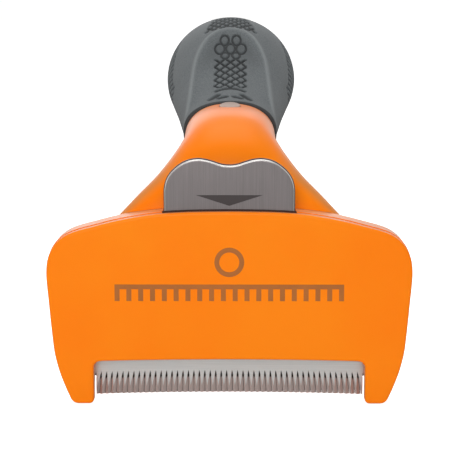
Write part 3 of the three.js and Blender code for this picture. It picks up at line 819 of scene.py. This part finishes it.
def drill_holes(rear):
    for x, z, seat, _ in COVER_SCREWS:
        for side in (1, -1):
            cut(rear, rod("y", COVER_SCREW_HOLE, (2, 20), (side * x, z), 24))
            cut(rear, rod("y", 2.4, (seat, 20), (side * x, z), 40))
    for x in (-BLADE_SCREW_X, BLADE_SCREW_X):
        cut(rear, rod("y", 1.05, (5, 10.6), (x, BLADE_SCREW_Z), 20))
    for x in (-SPRING_X, SPRING_X):
        cut(rear, rod("z", 0.7, (24.4, 28), (x, SPRING_Y), 20))
    for y in HANDLE_SCREW_YS:
        bottom = along(CORE, 4, y)
        end = along(SEAM, 1, y) - SEAM_HALF_GAP
        join(rear, rod("z", BOSS_RADIUS, (bottom + 1.0, end), (0, y), 24))
        cut(rear, rod("z", 1.3, (50, 95), (0, y), 20))
        cut(rear, rod("z", 2.3, (40, bottom + 2.3), (0, y), 28))


def rear_body():
    """the head's back and the lower half of neck and handle, one moulding"""
    rear = rear_head(0.0, "rear_body_shell")
    join(rear, neck_loft("neck_loft"))
    soften(rear)
    cut(rear, box(BEYOND, (41.97, 60), (0, 120)))
    join(rear, handle_core())
    # remove all above the seam except the head itself
    away = prism([(-5, 44.0)] + SEAM_DOWN[1:] + ABOVE_ALL, "x", BEYOND)
    cut(away, rear_head(0.0, "cut2"))
    cut(rear, away)
    hollow(rear)
    cut(rear, box(BEYOND, (-10, REAR_FRONT_Y), (-10, 60)))
    cut_pockets(rear)
    drill_holes(rear)
    finish_piece(rear, ORANGE, "rear_body", angle=38)


def oval_inlay():
    """a shallow domed disc in its seat, following the slope of the neck"""
    stations = np.linspace(5, 7, 80)
    neck_y, neck_z = along(NECK, 1, stations), along(NECK, 2, stations)
    rings = []
    # change of radius, height over the neck; the last ring is held up by the seat
    for grow, up in (
        (-2.4, 0.2), (-1.4, 0.19), (-0.6, 0.15), (-0.2, 0.07), (0.0, -0.06), (0.0, -9.0),
    ):
        x, y = oval((0, INLAY_Y), [radius + grow for radius in INLAY_RADII], INLAY_SIDES).T
        roof = np.interp(y, neck_y, neck_z) - 0.02 * x**2 + 0.08 * (y - 34)
        rings.append(np.stack([x, y, np.maximum(roof + up, INLAY_SEAT_Z + 0.08)], 1))
    inlay = fan_loft("oval_inlay_disc", np.stack(rings))
    finish_piece(inlay, INLAY, "oval_inlay", angle=40)


# ------------------------------------------------------------------------ grip
# y, half width, z of the widest level, z of the top, z of the bottom
GRIP = [
    (42.3, 12.78, 65.4, 73.75, 53.3),
    (48, 13.0, 66.4, 76.9, 54.4),
    (56, 14.2, 68.6, 81.0, 56.0),
    (66, 15.85, 71.4, 86.0, 57.8),
    (76, 17.5, 74.0, 90.5, 59.0),
    (86, 18.8, 76.0, 94.0, 59.6),
    (96, 19.5, 77.0, 95.9, 59.8),
    (106, 19.9, 77.2, 96.5, 60.0),
    (116, 19.5, 77.2, 95.7, 60.6),
    (126, 18.4, 77.0, 93.2, 62.0),
    (136, 16.0, 76.4, 89.0, 64.4),
    (143, 12.8, 75.9, 84.8, 66.8),
    (148, 8.4, 75.6, 80.8, 69.8),
    (150.4, 2.0, 75.6, 76.6, 74.4),
]
GRIP_START = GRIP[0][0]
GRIP_END = GRIP[-1][0]
LIP_RADIUS = 0.45
GROOVE_DEPTH = 0.55

# the thumb scoop: y, depth; and y, half width as a share of SCOOP_HALF
SCOOP_DEPTH = [(42.3, 0), (50, 1.9), (58, 3.3), (68, 4.3), (76, 4.4), (87, 4.0)]
SCOOP_WIDTH = [
    (42, 1.0), (47, 0.985), (52, 0.945), (61, 0.92),
    (70, 0.955), (76, 0.985), (80, 1.04), (86, 1.14),
]
SCOOP_HALF = 11.9
SCOOP_ROUND_Y = 50  # its far end starts to close here
SCOOP_ROUND_LENGTH = 32.9

# oval rings behind the thumb rest: x, y, radius in x, radius in y
CELLS = [
    (-1.75, 78.9, 1.25, 1.85), (1.75, 78.9, 1.25, 1.85),
    (-3.15, 75.5, 1.4, 2.1), (0, 75.5, 1.3, 2.0), (3.15, 75.5, 1.4, 2.1),
    (-1.6, 72.6, 1.15, 1.3), (1.6, 72.6, 1.15, 1.3),
]

# mesh rows: from y, to y, step
GRIP_ROWS = [
    (GRIP_START + LIP_RADIUS, 52, 0.26), (52, 72, 0.2), (72, 82, 0.22),
    (82, 106, 0.27), (106, 118, 0.36),
]
# mesh columns: from angle, to angle, count; closer on the thumb rest and the flanks
GRIP_COLUMNS = [
    (65, 115, 98), (115, 141, 16), (141, 197, 57),
    (197, 343, 34), (343, 399, 57), (399, 425, 16),
]
GRIP_FINENESS = 1.0


def scoop_edge(x, y):
    """a value below 1 inside the thumb scoop, and the distance outside its crest in mm"""
    half = SCOOP_HALF * along(SCOOP_WIDTH, 1, y)
    u = np.abs(x) / half
    v = np.maximum(y - SCOOP_ROUND_Y, 0) / SCOOP_ROUND_LENGTH
    inside = u**2.2 + v**2.6
    slope = np.hypot(2.2 / half * u**1.2, 2.6 / SCOOP_ROUND_LENGTH * v**1.6)
    return inside, (inside - 1) / np.maximum(slope, 0.03)


def scoop(x, y):
    """how far the scoop lowers the top; negative on its raised crest"""
    inside, outside = scoop_edge(x, y)
    bowl = along(SCOOP_DEPTH, 1, y) * (1 - np.minimum(inside, 1) ** 1.6)
    crest = 0.4 * ramp(y, 43.5, 52) * np.exp(-(((outside - 0.2) / 0.65) ** 2))
    return np.where(inside >= 1, 0, bowl) - crest


def groove(distance, width):
    """profile of a groove, by the distance from its centre line"""
    return np.clip(2.2 * (1 - np.abs(distance) / width), 0, 1)


def lattice(x, y, wide, long, width):
    """two families of slanted grooves that make diamonds"""
    scale = 1 / math.hypot(1 / wide, 1 / long)
    families = []
    for turns in (x / wide + y / long, x / wide - y / long):
        families.append(groove((turns - np.round(turns)) * scale, width))
    return np.maximum(*families)


def cells(x, y, width):
    depth = np.zeros_like(x)
    for centre_x, centre_y, radius_x, radius_y in CELLS:
        reach = np.hypot((x - centre_x) / radius_x, (y - centre_y) / radius_y)
        depth = np.maximum(depth, groove((reach - 1) * (radius_x + radius_y) / 2, width))
    return depth


def dash(x, y, start, end, width, bow=0.0):
    """a groove with round ends, its middle raised by bow"""
    (start_x, start_y), (end_x, end_y) = start, end
    run_x, run_y = end_x - start_x, end_y - start_y
    length = math.hypot(run_x, run_y)
    t = ((x - start_x) * run_x + (y - start_y) * run_y) / (length * length)
    aside = ((y - start_y) * run_x - (x - start_x) * run_y) / length
    aside = aside - bow * (1 - (2 * np.clip(t, 0, 1) - 1) ** 2)
    beyond = (np.abs(t - 0.5) - 0.5) * length
    return groove(np.hypot(aside, np.maximum(beyond, 0)), width)


def relief(x, y, up, angle):
    """groove depth, 0 to 1, over the grip; up is positive on the upper side"""
    across = np.abs(x)
    # diamonds on the thumb rest
    mask = band(y, (53.5, 53.9), (70.8, 71.2)) * (1 - ramp(across, 4.6, 4.85))
    diamonds = lattice(x, y - 53.7, wide=3.05, long=3.9, width=0.5) * mask
    # net over the crown
    _, outside = scoop_edge(x, y)
    net_half = 7.6 - (y - 85) * 0.17
    mask = ramp(outside, 1.2, 1.5) * band(y, (84.0, 84.5), (105, 106))
    mask = mask * (1 - ramp(across - net_half, 0, 0.3))
    net = lattice(x, y - 84.3, wide=2.5, long=4.8, width=0.72) * mask
    depth = np.maximum.reduce([
        diamonds,
        0.85 * cells(x, y, width=0.44),
        # dashes by the collar
        dash(x, y, (-3.7, 51.6), (3.7, 51.6), width=1.1, bow=1.2),
        dash(across, y, (5.4, 45.8), (3.5, 48.2), width=1.2),
        dash(across, y, (3.0, 45.6), (1.2, 46.4), width=1.1),
        net,
    ]) * (up > 0.3)
    # fine scales on both flanks, between a low and a high line
    girth = angle * 19.0
    high = 4.0 + 8.5 * np.clip((y - 76) / 20, 0, 1)
    high = high - 9.0 * np.clip((y - 108) / 10, 0, 1) ** 2
    low = -4.2 + 4.0 * np.clip((y - 104) / 14, 0, 1) ** 2
    mask = band(y, (71.5, 72.5), (117, 118))
    mask = mask * ramp(girth - low, 0, 0.4) * (1 - ramp(girth - high, 0, 0.4))
    return np.maximum(depth, 0.75 * lattice(girth, y, wide=2.4, long=3.4, width=0.4) * mask)


def grip_surface(y, angles, shrink=0.0):
    """smooth grip rings at each y, drawn in by shrink, and how far up each point lies"""
    y, angles = np.meshgrid(y, angles, indexing="ij")
    shrink = np.broadcast_to(shrink, len(y))[:, None]
    half_width, middle, top, bottom = columns(GRIP, y)
    squareness = 2.25 - 0.37 * np.clip((y - 43) / 19, 0, 1) + 0.12 * ramp(y, 78, 98)
    across = power(np.cos(angles), 2 / squareness)
    up = power(np.sin(angles), 2 / squareness)
    x = (half_width - shrink) * across
    z = middle + np.where(up > 0, top - middle - shrink, middle - bottom - shrink) * up
    z = z - np.where(up > 0, scoop(x, y), 0)
    return np.stack([x, y, z], -1), up


def outward_normals(rings):
    down_rows = np.gradient(rings, axis=0)
    wrapped = np.concatenate([rings[:, -1:], rings, rings[:, :1]], 1)
    round_rings = (wrapped[:, 2:] - wrapped[:, :-2]) / 2
    normals = np.cross(down_rows, round_rings)
    normals /= np.maximum(np.linalg.norm(normals, axis=2)[..., None], 1e-9)
    from_centre = rings - rings.mean(1, keepdims=True)
    return -normals if (from_centre * normals).sum(-1).mean() < 0 else normals


def grip():
    row_parts = [
        np.linspace(a, b, max(2, int((b - a) / step * GRIP_FINENESS)), endpoint=False)
        for a, b, step in GRIP_ROWS
    ]
    tail_start = GRIP_ROWS[-1][1]
    tail = np.sin(np.linspace(0, math.pi / 2, 32)) ** 0.9
    y = np.concatenate(row_parts + [tail_start + (GRIP_END - tail_start) * tail])
    angles = np.concatenate([
        np.linspace(math.radians(a), math.radians(b), int(count * GRIP_FINENESS), endpoint=False)
        for a, b, count in GRIP_COLUMNS
    ])
    outer, up = grip_surface(y, angles)
    flank = np.arctan2(np.sin(angles), np.abs(np.cos(angles)))
    grooves = relief(outer[..., 0], outer[..., 1], up, np.broadcast_to(flank, up.shape))
    outer = outer - outward_normals(outer) * (GROOVE_DEPTH * grooves)[..., None]
    # the inside of the sleeve, then a rolled lip at the collar
    inner, _ = grip_surface((56.0, 44.0, GRIP_START), angles, (2.6, 2.4, 2.2))
    roll = quarter(8)[::-1]
    lip_y = GRIP_START + LIP_RADIUS * (1 - np.sin(roll))
    lip, _ = grip_surface(lip_y, angles, LIP_RADIUS * (1 - np.cos(roll)))
    sleeve = fan_loft("grip_sleeve", np.concatenate([inner, lip, outer[1:]]))

    collar_points = (len(inner) + len(lip)) * len(angles)

    def mark(name, values, collar=0.0):
        """store a value per vertex that sets where the rubber gets painted highlight and painted
        shade
        """
        parts = [np.full(collar_points, collar), values[1:].reshape(-1), [collar, 0.0]]
        layer = sleeve.data.attributes.new(name, "FLOAT", "POINT")
        layer.data.foreach_set("value", np.concatenate(parts).astype(np.float32))

    inside, outside = scoop_edge(outer[..., 0], outer[..., 1])
    y = outer[..., 1]
    # painted highlight along the scoop's crest
    crest = np.exp(-(((outside - 0.2) / 0.6) ** 2)) * ramp(y, 43.5, 48) * (up > 0)
    # painted shade on the floor of the scoop towards its far end
    painted_scoop_shade = ramp(y, 62, 78) * (1 - ramp(inside, 0.55, 1.0)) * (up > 0)
    # painted shade in the grooves, and strong painted shade on the collar ring
    mark("groove", grooves, collar=0.8)
    mark("crest", crest)
    mark("hollow", painted_scoop_shade)
    finish_piece(sleeve, RUBBER, "grip", angle=60)


# ------------------------------------------------------------------- comb blade
TEETH = 49
TOOTH_PITCH = 1.395
TIP_Z = 1.84
TIP_SAG = 0.6
CUT_SAG = 0.5  # drop of the cuts between the teeth at the blade's sides
CUT_LEAN = 0.0038  # sideways lean of a cut, per mm from the centre and mm of depth
# levels of a cut between two teeth
POCKET_TOP = 7.75
POCKET_WIDEST = 6.2
POCKET_FOOT = 5.3
SLOT_TOP = 7.0
CUT_TIP = 0.9
# diamond pocket: offset in x, z
POCKET = [
    (0, POCKET_TOP), (-0.17, 7.0), (-0.27, POCKET_WIDEST), (-0.2, 5.8),
    (0, POCKET_FOOT), (0.2, 5.8), (0.27, POCKET_WIDEST), (0.17, 7.0),
]


def tooth_groove(x_at, sag):
    """a V in the front that opens and deepens towards the tip"""
    front = BLADE_FRONT_Y - 0.12
    rings = []
    for z, half in (
        (POCKET_WIDEST + 0.25, 0.24), (CUT_TIP, 0.30 + (POCKET_WIDEST - CUT_TIP) * 0.17),
    ):
        x, mouth = x_at(z), half + 0.16
        depth = BLADE_FRONT_Y + half * 0.75
        rings.append([(x, depth, z + sag), (x - mouth, front, z + sag), (x + mouth, front, z + sag)])
    return rings


def tooth_pocket(x_at, sag):
    """the pointed pocket at the groove's root, narrowing backwards"""
    return [
        [
            (x_at(z) + dx * size, y, POCKET_WIDEST + (z - POCKET_WIDEST) * size + sag)
            for dx, z in POCKET
        ]
        for y, size in ((BLADE_FRONT_Y - 0.3, 1.06), (BLADE_FRONT_Y + 1.1, 0.7))
    ]


def tooth_slot(x_at, sag):
    """a fine slot right through, slanted so that it reads as dark"""
    rings = []
    for y, skew in ((BLADE_FRONT_Y - 1, -0.222), (BLADE_BACK_Y + 1, 0.622)):
        top_x, tip_x = x_at(SLOT_TOP) + skew, x_at(CUT_TIP) + skew
        rings.append([
            (top_x - 0.07, y, SLOT_TOP + sag), (top_x + 0.07, y, SLOT_TOP + sag),
            (tip_x + 0.085, y, CUT_TIP + sag), (tip_x - 0.085, y, CUT_TIP + sag),
        ])
    return rings


def add_bridge(points, faces, rings):
    """add the closed solid between two rings to a growing mesh"""
    n, at = len(rings[0]), len(points)
    points += [*rings[0], *rings[1]]
    faces += [tuple(range(at, at + n)), tuple(range(at + 2 * n - 1, at + n - 1, -1))]
    for i in range(n):
        j = (i + 1) % n
        faces.append((at + i, at + n + i, at + n + j, at + j))


def comb():
    half = [
        (BLADE_EAR_HALF, BLADE_TOP), (BLADE_EAR_HALF, BLADE_EAR_Z),
        (BLADE_HALF, BLADE_EAR_Z - 0.5), (BLADE_HALF, 1.2),
    ]
    ends = (BLADE_FRONT_Y, BLADE_BACK_Y)
    blade = prism([*half, *mirror(half)], "y", ends, name="comb_blade_ground")
    # the tips follow a shallow arc
    x = np.linspace(-40, 40, 121)
    arc = TIP_Z - TIP_SAG * (x / BLADE_HALF) ** 2
    cut(blade, prism([(-40, -3), *zip(x, arc), (40, -3)], "y", (0, 12)))
    # the back is ground thin towards the tips
    grind = [(BLADE_FRONT_Y + 0.7, -1), (BLADE_BACK_Y + 0.6, 7.2), (12, 7.2), (12, -1)]
    cut(blade, prism(grind, "x", (-50, 50)))
    # every other cut at a time, so that neighbours in one tool never overlap
    for parity in (0, 1):
        for shape in (tooth_groove, tooth_pocket, tooth_slot):
            points, faces = [], []
            for i in range(parity, TEETH + 1, 2):
                if shape is tooth_slot and i in (0, TEETH):
                    continue
                centre = (i - TEETH / 2) * TOOTH_PITCH
                sag = -CUT_SAG * (centre / BLADE_HALF) ** 2

                def x_at(z):
                    return centre + CUT_LEAN * centre * (POCKET_WIDEST - z)

                add_bridge(points, faces, shape(x_at, sag))
            cut(blade, new_object("cut", points, faces))
    for x in (-BLADE_SCREW_X, BLADE_SCREW_X):
        cut(blade, rod("y", 1.15, (0, 10), (x, BLADE_SCREW_Z), 24))
    finish_piece(blade, COMB_STEEL, "comb_blade", angle=20)


# ---------------------------------------------------------------------- button
# right half of the top edge: x, z
BUTTON_TOP = [
    (0, 60.1), (1.95, 60.3), (4.0, 60.95), (6.0, 61.5), (8.03, 61.7), (10.3, 61.3),
    (12.35, 60.3), (14.4, 58.5), (15.65, 56.5), (16.2, 54.0),
]
BUTTON_FRONT_Y = 2.2
BUTTON_BACK_Y = 6.9


def button_outline(low):
    """the button's outline in x, z, with straight sides down to the low edge"""
    half_width, shoulder = BUTTON_TOP[-1]
    curve = spline([*mirror(BUTTON_TOP[1:3]), *BUTTON_TOP, (half_width, 51.5)], 24)
    curve = curve[np.argmin(np.abs(curve[:, 0])):]
    end = np.argmin(np.abs(curve[:, 1] - shoulder) + (curve[:, 0] < 15) * 9)
    right = respace(curve[: end + 1], 0.22)
    right[0, 0] = 0
    side = np.stack([np.full(30, half_width), np.linspace(right[-1, 1], low, 31)[1:]], 1)
    right = np.concatenate([right, side])
    return np.concatenate([right, mirror(right[1:])])


def button_plate():
    outline = button_outline(39.0)
    front, bevel = BUTTON_FRONT_Y, 0.26
    rings = [
        (bevel + 0.25, front), (bevel, front),
        (bevel * 0.55, front + bevel * 0.3), (bevel * 0.2, front + bevel * 0.7),
        (0, front + bevel), (0, 3.12), (0.08, 3.2),
    ]
    face = plate("button_plate", outline, rings)
    finish_piece(face, PLATE, "button_face_plate", body="ejector", angle=50)
    # the three strips of the bevel round the face are polished, and paler as a painted highlight
    face.data.materials.append(POLISH_AND_HIGHLIGHT)
    n = len(outline)
    for i in range(n, 4 * n):
        face.data.polygons[i].material_index = 1


def button_core():
    """a thin rim shows round the plate, then the core steps in"""
    outline = anticlockwise(button_outline(33.7))
    step_in, radius, low = 0.8, 0.7, 34.5
    # inset, y
    steps = [
        (-0.2, 3.25), (-0.22, 3.35), (-0.22, 4.1), (-0.16, 4.2),
        (step_in, 4.25), (step_in, BUTTON_BACK_Y - radius),
    ]
    steps += [
        (step_in + radius * (1 - np.cos(a)), BUTTON_BACK_Y - radius + radius * np.sin(a))
        for a in quarter(6)[1:]
    ]
    rings = []
    for distance, y in steps:
        ring = np.insert(inset(outline, distance), 1, y, axis=1)
        ring[:, 2] = np.maximum(ring[:, 2], low + max(distance - step_in, 0))
        rings.append(ring)
    core = loft("button_core", rings)
    for x in (-SPRING_X, SPRING_X):
        cut(core, rod("z", 1.55, (30, 50), (x, SPRING_Y), 32))
    cut(core, rod("y", 1.15, (0, 10), (0, 36.6), 24))
    finish_piece(core, DARK, "button_body", body="ejector", angle=35)


def button_arrow():
    corners = np.array([(-8.4, 52.8), (8.4, 52.8), (0, 50.1), (-8.4, 52.8)])
    ys = (BUTTON_FRONT_Y - 0.03, BUTTON_FRONT_Y + 0.01)
    arrow = plate("arrow_print", respace(corners, 0.2)[:-1], [(0.0, y) for y in ys])
    finish_piece(arrow, PRINT_DARK, "arrow_mark", body="ejector")


def slot_shadow_strip():
    """thin dark strip along the front of the slot that the button comes out of: a painted shadow
    where the slot lies in shade
    """
    half = 16.75
    x = np.linspace(-half, half, 90)
    edge = spline([*mirror(HEAD_HALF[1:6]), *HEAD_HALF[:6]], 30)
    z = np.interp(x, edge[:, 0], edge[:, 1]) + 0.46
    points = [*zip(x, z), (half, 41.0), (-half, 41.0)]
    shadow_strip = plate("slot_shadow_strip", points, [(0.06, 1.83), (0, 1.89), (0, 2.05), (0.06, 2.11)])
    finish_piece(shadow_strip, SLOT_SHADOW)


# ------------------------------------------------------------ prints on the cover
PRINT_YS = (-0.03, 0.01)  # proud of the front face, and just sunk in it


def comb_print():
    """a battlement line: square notches with a taller post at each end"""
    teeth, half = 20, 29.5
    post_top, notch_top, bottom = 30.6, 29.4, 26.4
    pitch = 2 * half / teeth
    tooth = pitch * 0.42
    points = [(-half, post_top), (-half, bottom)]
    for i in range(teeth - 1):
        left = -half + i * pitch
        right = left + pitch
        points += [(left + tooth, bottom), (left + tooth, notch_top)]
        points += [(right, notch_top), (right, bottom)]
    end = -half + (teeth - 1) * pitch + tooth
    points += [(end, bottom), (end, post_top)]
    shift = (half - end) / 2
    points = [(x + shift, z) for x, z in points]
    line = plate("print_comb_line", points, [(0.0, y) for y in PRINT_YS])
    finish_piece(line, PRINT_BROWN, "head_mark_comb")


def ring_print():
    proud, sunk = PRINT_YS
    inner, outer = 2.5, 3.7
    rings = [
        np.insert(oval((0, 36.2), (radius, radius), 96), 1, y, axis=1)
        for radius, y in ((inner, sunk), (inner, proud), (outer, proud), (outer, sunk))
    ]
    ring = loft("print_ring", rings, closed=True)
    finish_piece(ring, PRINT_BROWN, "head_mark_ring")


# --------------------------------------------------------------------- springs
def springs():
    low, high, turns = 26.6, 49.9, 10
    steps_per_turn, wire_sides = 28, 10
    wire, coil = 0.2, 1.1  # radii
    t = np.linspace(0, 1, turns * steps_per_turn)
    # closed coils at both ends, open ones between
    rise = ramp(t, 0.06, 0.94) * 0.25 + 0.75 * np.clip((t - 0.08) / 0.84, 0, 1)
    z = low + wire + rise * (high - low - 2 * wire)
    angles = t * 2 * np.pi * turns
    around = turn(wire_sides)[None, :, None]
    for x, side in ((-SPRING_X, "left"), (SPRING_X, "right")):
        path = np.stack([x + coil * np.cos(angles), SPRING_Y + coil * np.sin(angles), z], 1)
        forward = np.gradient(path, axis=0)
        forward /= np.linalg.norm(forward, axis=1)[:, None]
        out = np.stack([np.cos(angles), np.sin(angles), 0 * angles], 1)
        across = np.cross(forward, out)
        across /= np.linalg.norm(across, axis=1)[:, None]
        out = np.cross(across, forward)
        section = np.cos(around) * out[:, None] + np.sin(around) * across[:, None]
        spring = fan_loft(f"spring_{side}", path[:, None] + wire * section)
        finish_piece(spring, SPRING_STEEL, f"return_spring_{side}", angle=60)
        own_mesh(spring)


# ---------------------------------------------------------------------- screws
def screw(name, node, at, head, face, under, shank, tip):
    """screw along y: face and under bound the head, head and shank are radii"""
    x, z = at
    out = 1 if face > under else -1  # the way the head looks along y
    # radius, y
    profile = [
        (0.25, face), (head - 0.5, face), (head - 0.22, face - out * 0.06),
        (head - 0.06, face - out * 0.2), (head, face - out * 0.42),
        (head, under + out * 0.06), (head - 0.06, under),
        (shank + 0.08, under), (shank, under - out * 0.12),
    ]
    length = abs(tip - under)
    count = int(length / 0.35)
    for k in range(1, count):
        y = under - out * (0.12 + (length - 0.5) * k / count)
        profile.append((shank - (0.14 if k % 2 else 0.0), y))
    profile.append((shank * 0.45, tip))
    rings = [np.insert(oval(at, (r, r), 40), 1, y, axis=1) for r, y in profile]
    body = fan_loft(name, np.stack(rings))
    # cross recess
    y0, y1 = sorted((face + out * 1.0, face - out * 0.5))
    arm, half = head * 0.6, 0.22
    cross = box((x - arm, x + arm), (y0, y1), (z - half, z + half))
    join(cross, box((x - half, x + half), (y0 - 0.01, y1 + 0.01), (z - arm, z + arm)))
    cut(body, cross)
    finish_piece(body, ZINC, node)


def screws():
    for side, tag in ((-1, "left"), (1, "right")):
        screw(
            f"screw_blade_{tag}", f"blade_screw_{tag}", (side * BLADE_SCREW_X, BLADE_SCREW_Z),
            head=1.7, face=3.75, under=4.75, shank=0.95, tip=10.2,
        )
    number = 0
    for x, z, seat, back in COVER_SCREWS:
        for side in (-1, 1):
            number += 1
            screw(
                f"screw_cover_{number}", f"cover_screw_{number}", (side * x, z),
                head=2.1, face=back, under=seat + 0.1, shank=1.0, tip=1.6,
            )


# ------------------------------------------------------------------ kept CAD nodes
def cad_nodes():
    """the CAD nodes that stay get a material and a small edge break"""
    for name, material, slot in (
        ("blade_clamp", ZINC, "zinc_steel"),
        ("handle_screw_front", ZINC, "zinc_steel"),
        ("handle_screw_rear", ZINC, "zinc_steel"),
        ("spring_rod_left", ZINC, "zinc_steel"),
        ("spring_rod_right", ZINC, "zinc_steel"),
        ("ejector_slider", DARK, "dark_plastic"),
        ("ejector_plate", EJECTOR_STEEL, "comb_steel"),
        ("ejector_rivet_left", ZINC, "zinc_steel"),
        ("ejector_rivet_right", ZINC, "zinc_steel"),
        ("slider_screw", ZINC, "zinc_steel"),
    ):
        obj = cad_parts[name]
        if not obj.data.materials:
            obj.data.materials.append(material)
        for material_slot in obj.material_slots:
            material_slot.material = material
        bevel = obj.modifiers.new("edge", "BEVEL")
        bevel.width = 0.00012
        bevel.segments = 2
        bevel.limit_method = "ANGLE"
        bevel.angle_limit = math.radians(40)


# --------------------------------------------------------------------- the set
def studio_world():
    """even light; reflections brighten to the back, the top and the sides"""
    diffuse_strength = 0.36
    backdrop_strength = 1.02  # what the camera sees
    side_weight, top_weight = 0.75, 0.65
    world = bpy.data.worlds.new("studio")
    scene.world = world
    g = Graph(world)
    output = g.node("OutputWorld")
    background = g.node("Background", {"Color": (1.0, 0.995, 0.99, 1)})
    ray = g.node("LightPath").outputs
    way = g.xyz(g.node("TexCoord").outputs["Generated"])
    sideways = g.maths("MULTIPLY", g.maths("ABSOLUTE", way["X"], 0.0), side_weight)
    high = g.maths("MULTIPLY", way["Z"], top_weight)
    towards = g.maths("ADD", g.maths("ADD", way["Y"], high), sideways)
    reflected = g.span(towards, over=(-0.2, 1.0), to=(0.32, 1.0))
    even = g.maths("ADD", diffuse_strength, 0.0)
    lighting = g.choose(ray["Is Glossy Ray"], even, reflected)
    strength = g.choose(ray["Is Camera Ray"], lighting, backdrop_strength)
    g.fill(background, {"Strength": strength})
    g.fill(output, {0: background.outputs[0]})


def white_floor():
    material, g, surface = new_material("floor_white")
    cloud = g.noise(g.coords(), scale=3.0)
    colour = g.mix(cloud, (0.85, 0.85, 0.85, 1), (0.87, 0.87, 0.87, 1))
    ray = g.node("LightPath").outputs
    g.fill(surface, {
        # darker in reflections, and glowing mostly for the camera
        "Base Color": g.mix(ray["Is Glossy Ray"], colour, (0.6, 0.6, 0.6, 1)),
        "Roughness": 0.9,
        "Specular IOR Level": 0.1,
        "Emission Color": (1, 1, 1, 1),
        "Emission Strength": g.span(ray["Is Camera Ray"], to=(0.04, 0.9)),
    })
    half = 30.0  # metres
    z = ORIGIN[2] - 0.0002
    corners = [(-half, -half, z), (half, -half, z), (half, half, z), (-half, half, z)]
    mesh = bpy.data.meshes.new("floor")
    mesh.from_pydata(corners, [], [(0, 1, 2, 3)])
    floor = bpy.data.objects.new("floor", mesh)
    floor.data.materials.append(material)
    scene.collection.objects.link(floor)


def place_aimed(name, data, at, target):
    """put a light or camera in the scene, looking at the target"""
    obj = bpy.data.objects.new(name, data)
    place = Vector(to_m(at))
    obj.location = place
    obj.rotation_euler = (Vector(to_m(target)) - place).to_track_quat("-Z", "Y").to_euler()
    scene.collection.objects.link(obj)
    return obj


def lights():
    # name, place, target, side of the square in mm, power in watts
    for name, at, target, size, power_watts in (
        ("key_front", (-70, -640, 380), (0, 20, 45), 420, 2.6),
        ("top_soft", (0, 120, 600), (0, 50, 60), 420, 1.15),
        ("back_fill", (-60, 640, 330), (0, 40, 50), 420, 0.42),
        ("side_left", (-520, -120, 140), (0, 10, 50), 300, 0.16),
        ("side_right", (520, -120, 140), (0, 10, 50), 300, 0.04),
    ):
        light = bpy.data.lights.new(name, "AREA")
        light.shape = "SQUARE"
        light.size = size * MM
        light.energy = power_watts
        place_aimed(name, light, at, target)


def front_camera():
    """in front of the head and a little above it"""
    elevation = math.radians(8.0)
    distance = 370.0
    view_width = 111.6  # at the target
    view_shift = -1.0664
    sideways = 1.8
    target = np.array([0.0, 0.0, 45.6])
    back = np.array([0.0, math.cos(elevation), -math.sin(elevation)])
    eye = target - distance * back + np.array([sideways, 0.0, 0.0])
    data = bpy.data.cameras.new("camera")
    data.sensor_width = 36.0
    data.lens = distance / view_width * 36.0
    data.shift_x = view_shift / view_width
    data.clip_start = 0.01
    data.clip_end = 100
    scene.camera = place_aimed("camera", data, eye, target)


front_cover()
neck_top()
rear_body()
oval_inlay()
grip()
comb()
button_plate()
button_core()
button_arrow()
slot_shadow_strip()
comb_print()
ring_print()
springs()
screws()
cad_nodes()

scene.view_settings.view_transform = "Standard"
scene.view_settings.look = "None"
scene.view_settings.exposure = 0.0
scene.view_settings.gamma = 1.0
studio_world()
white_floor()
lights()
front_camera()
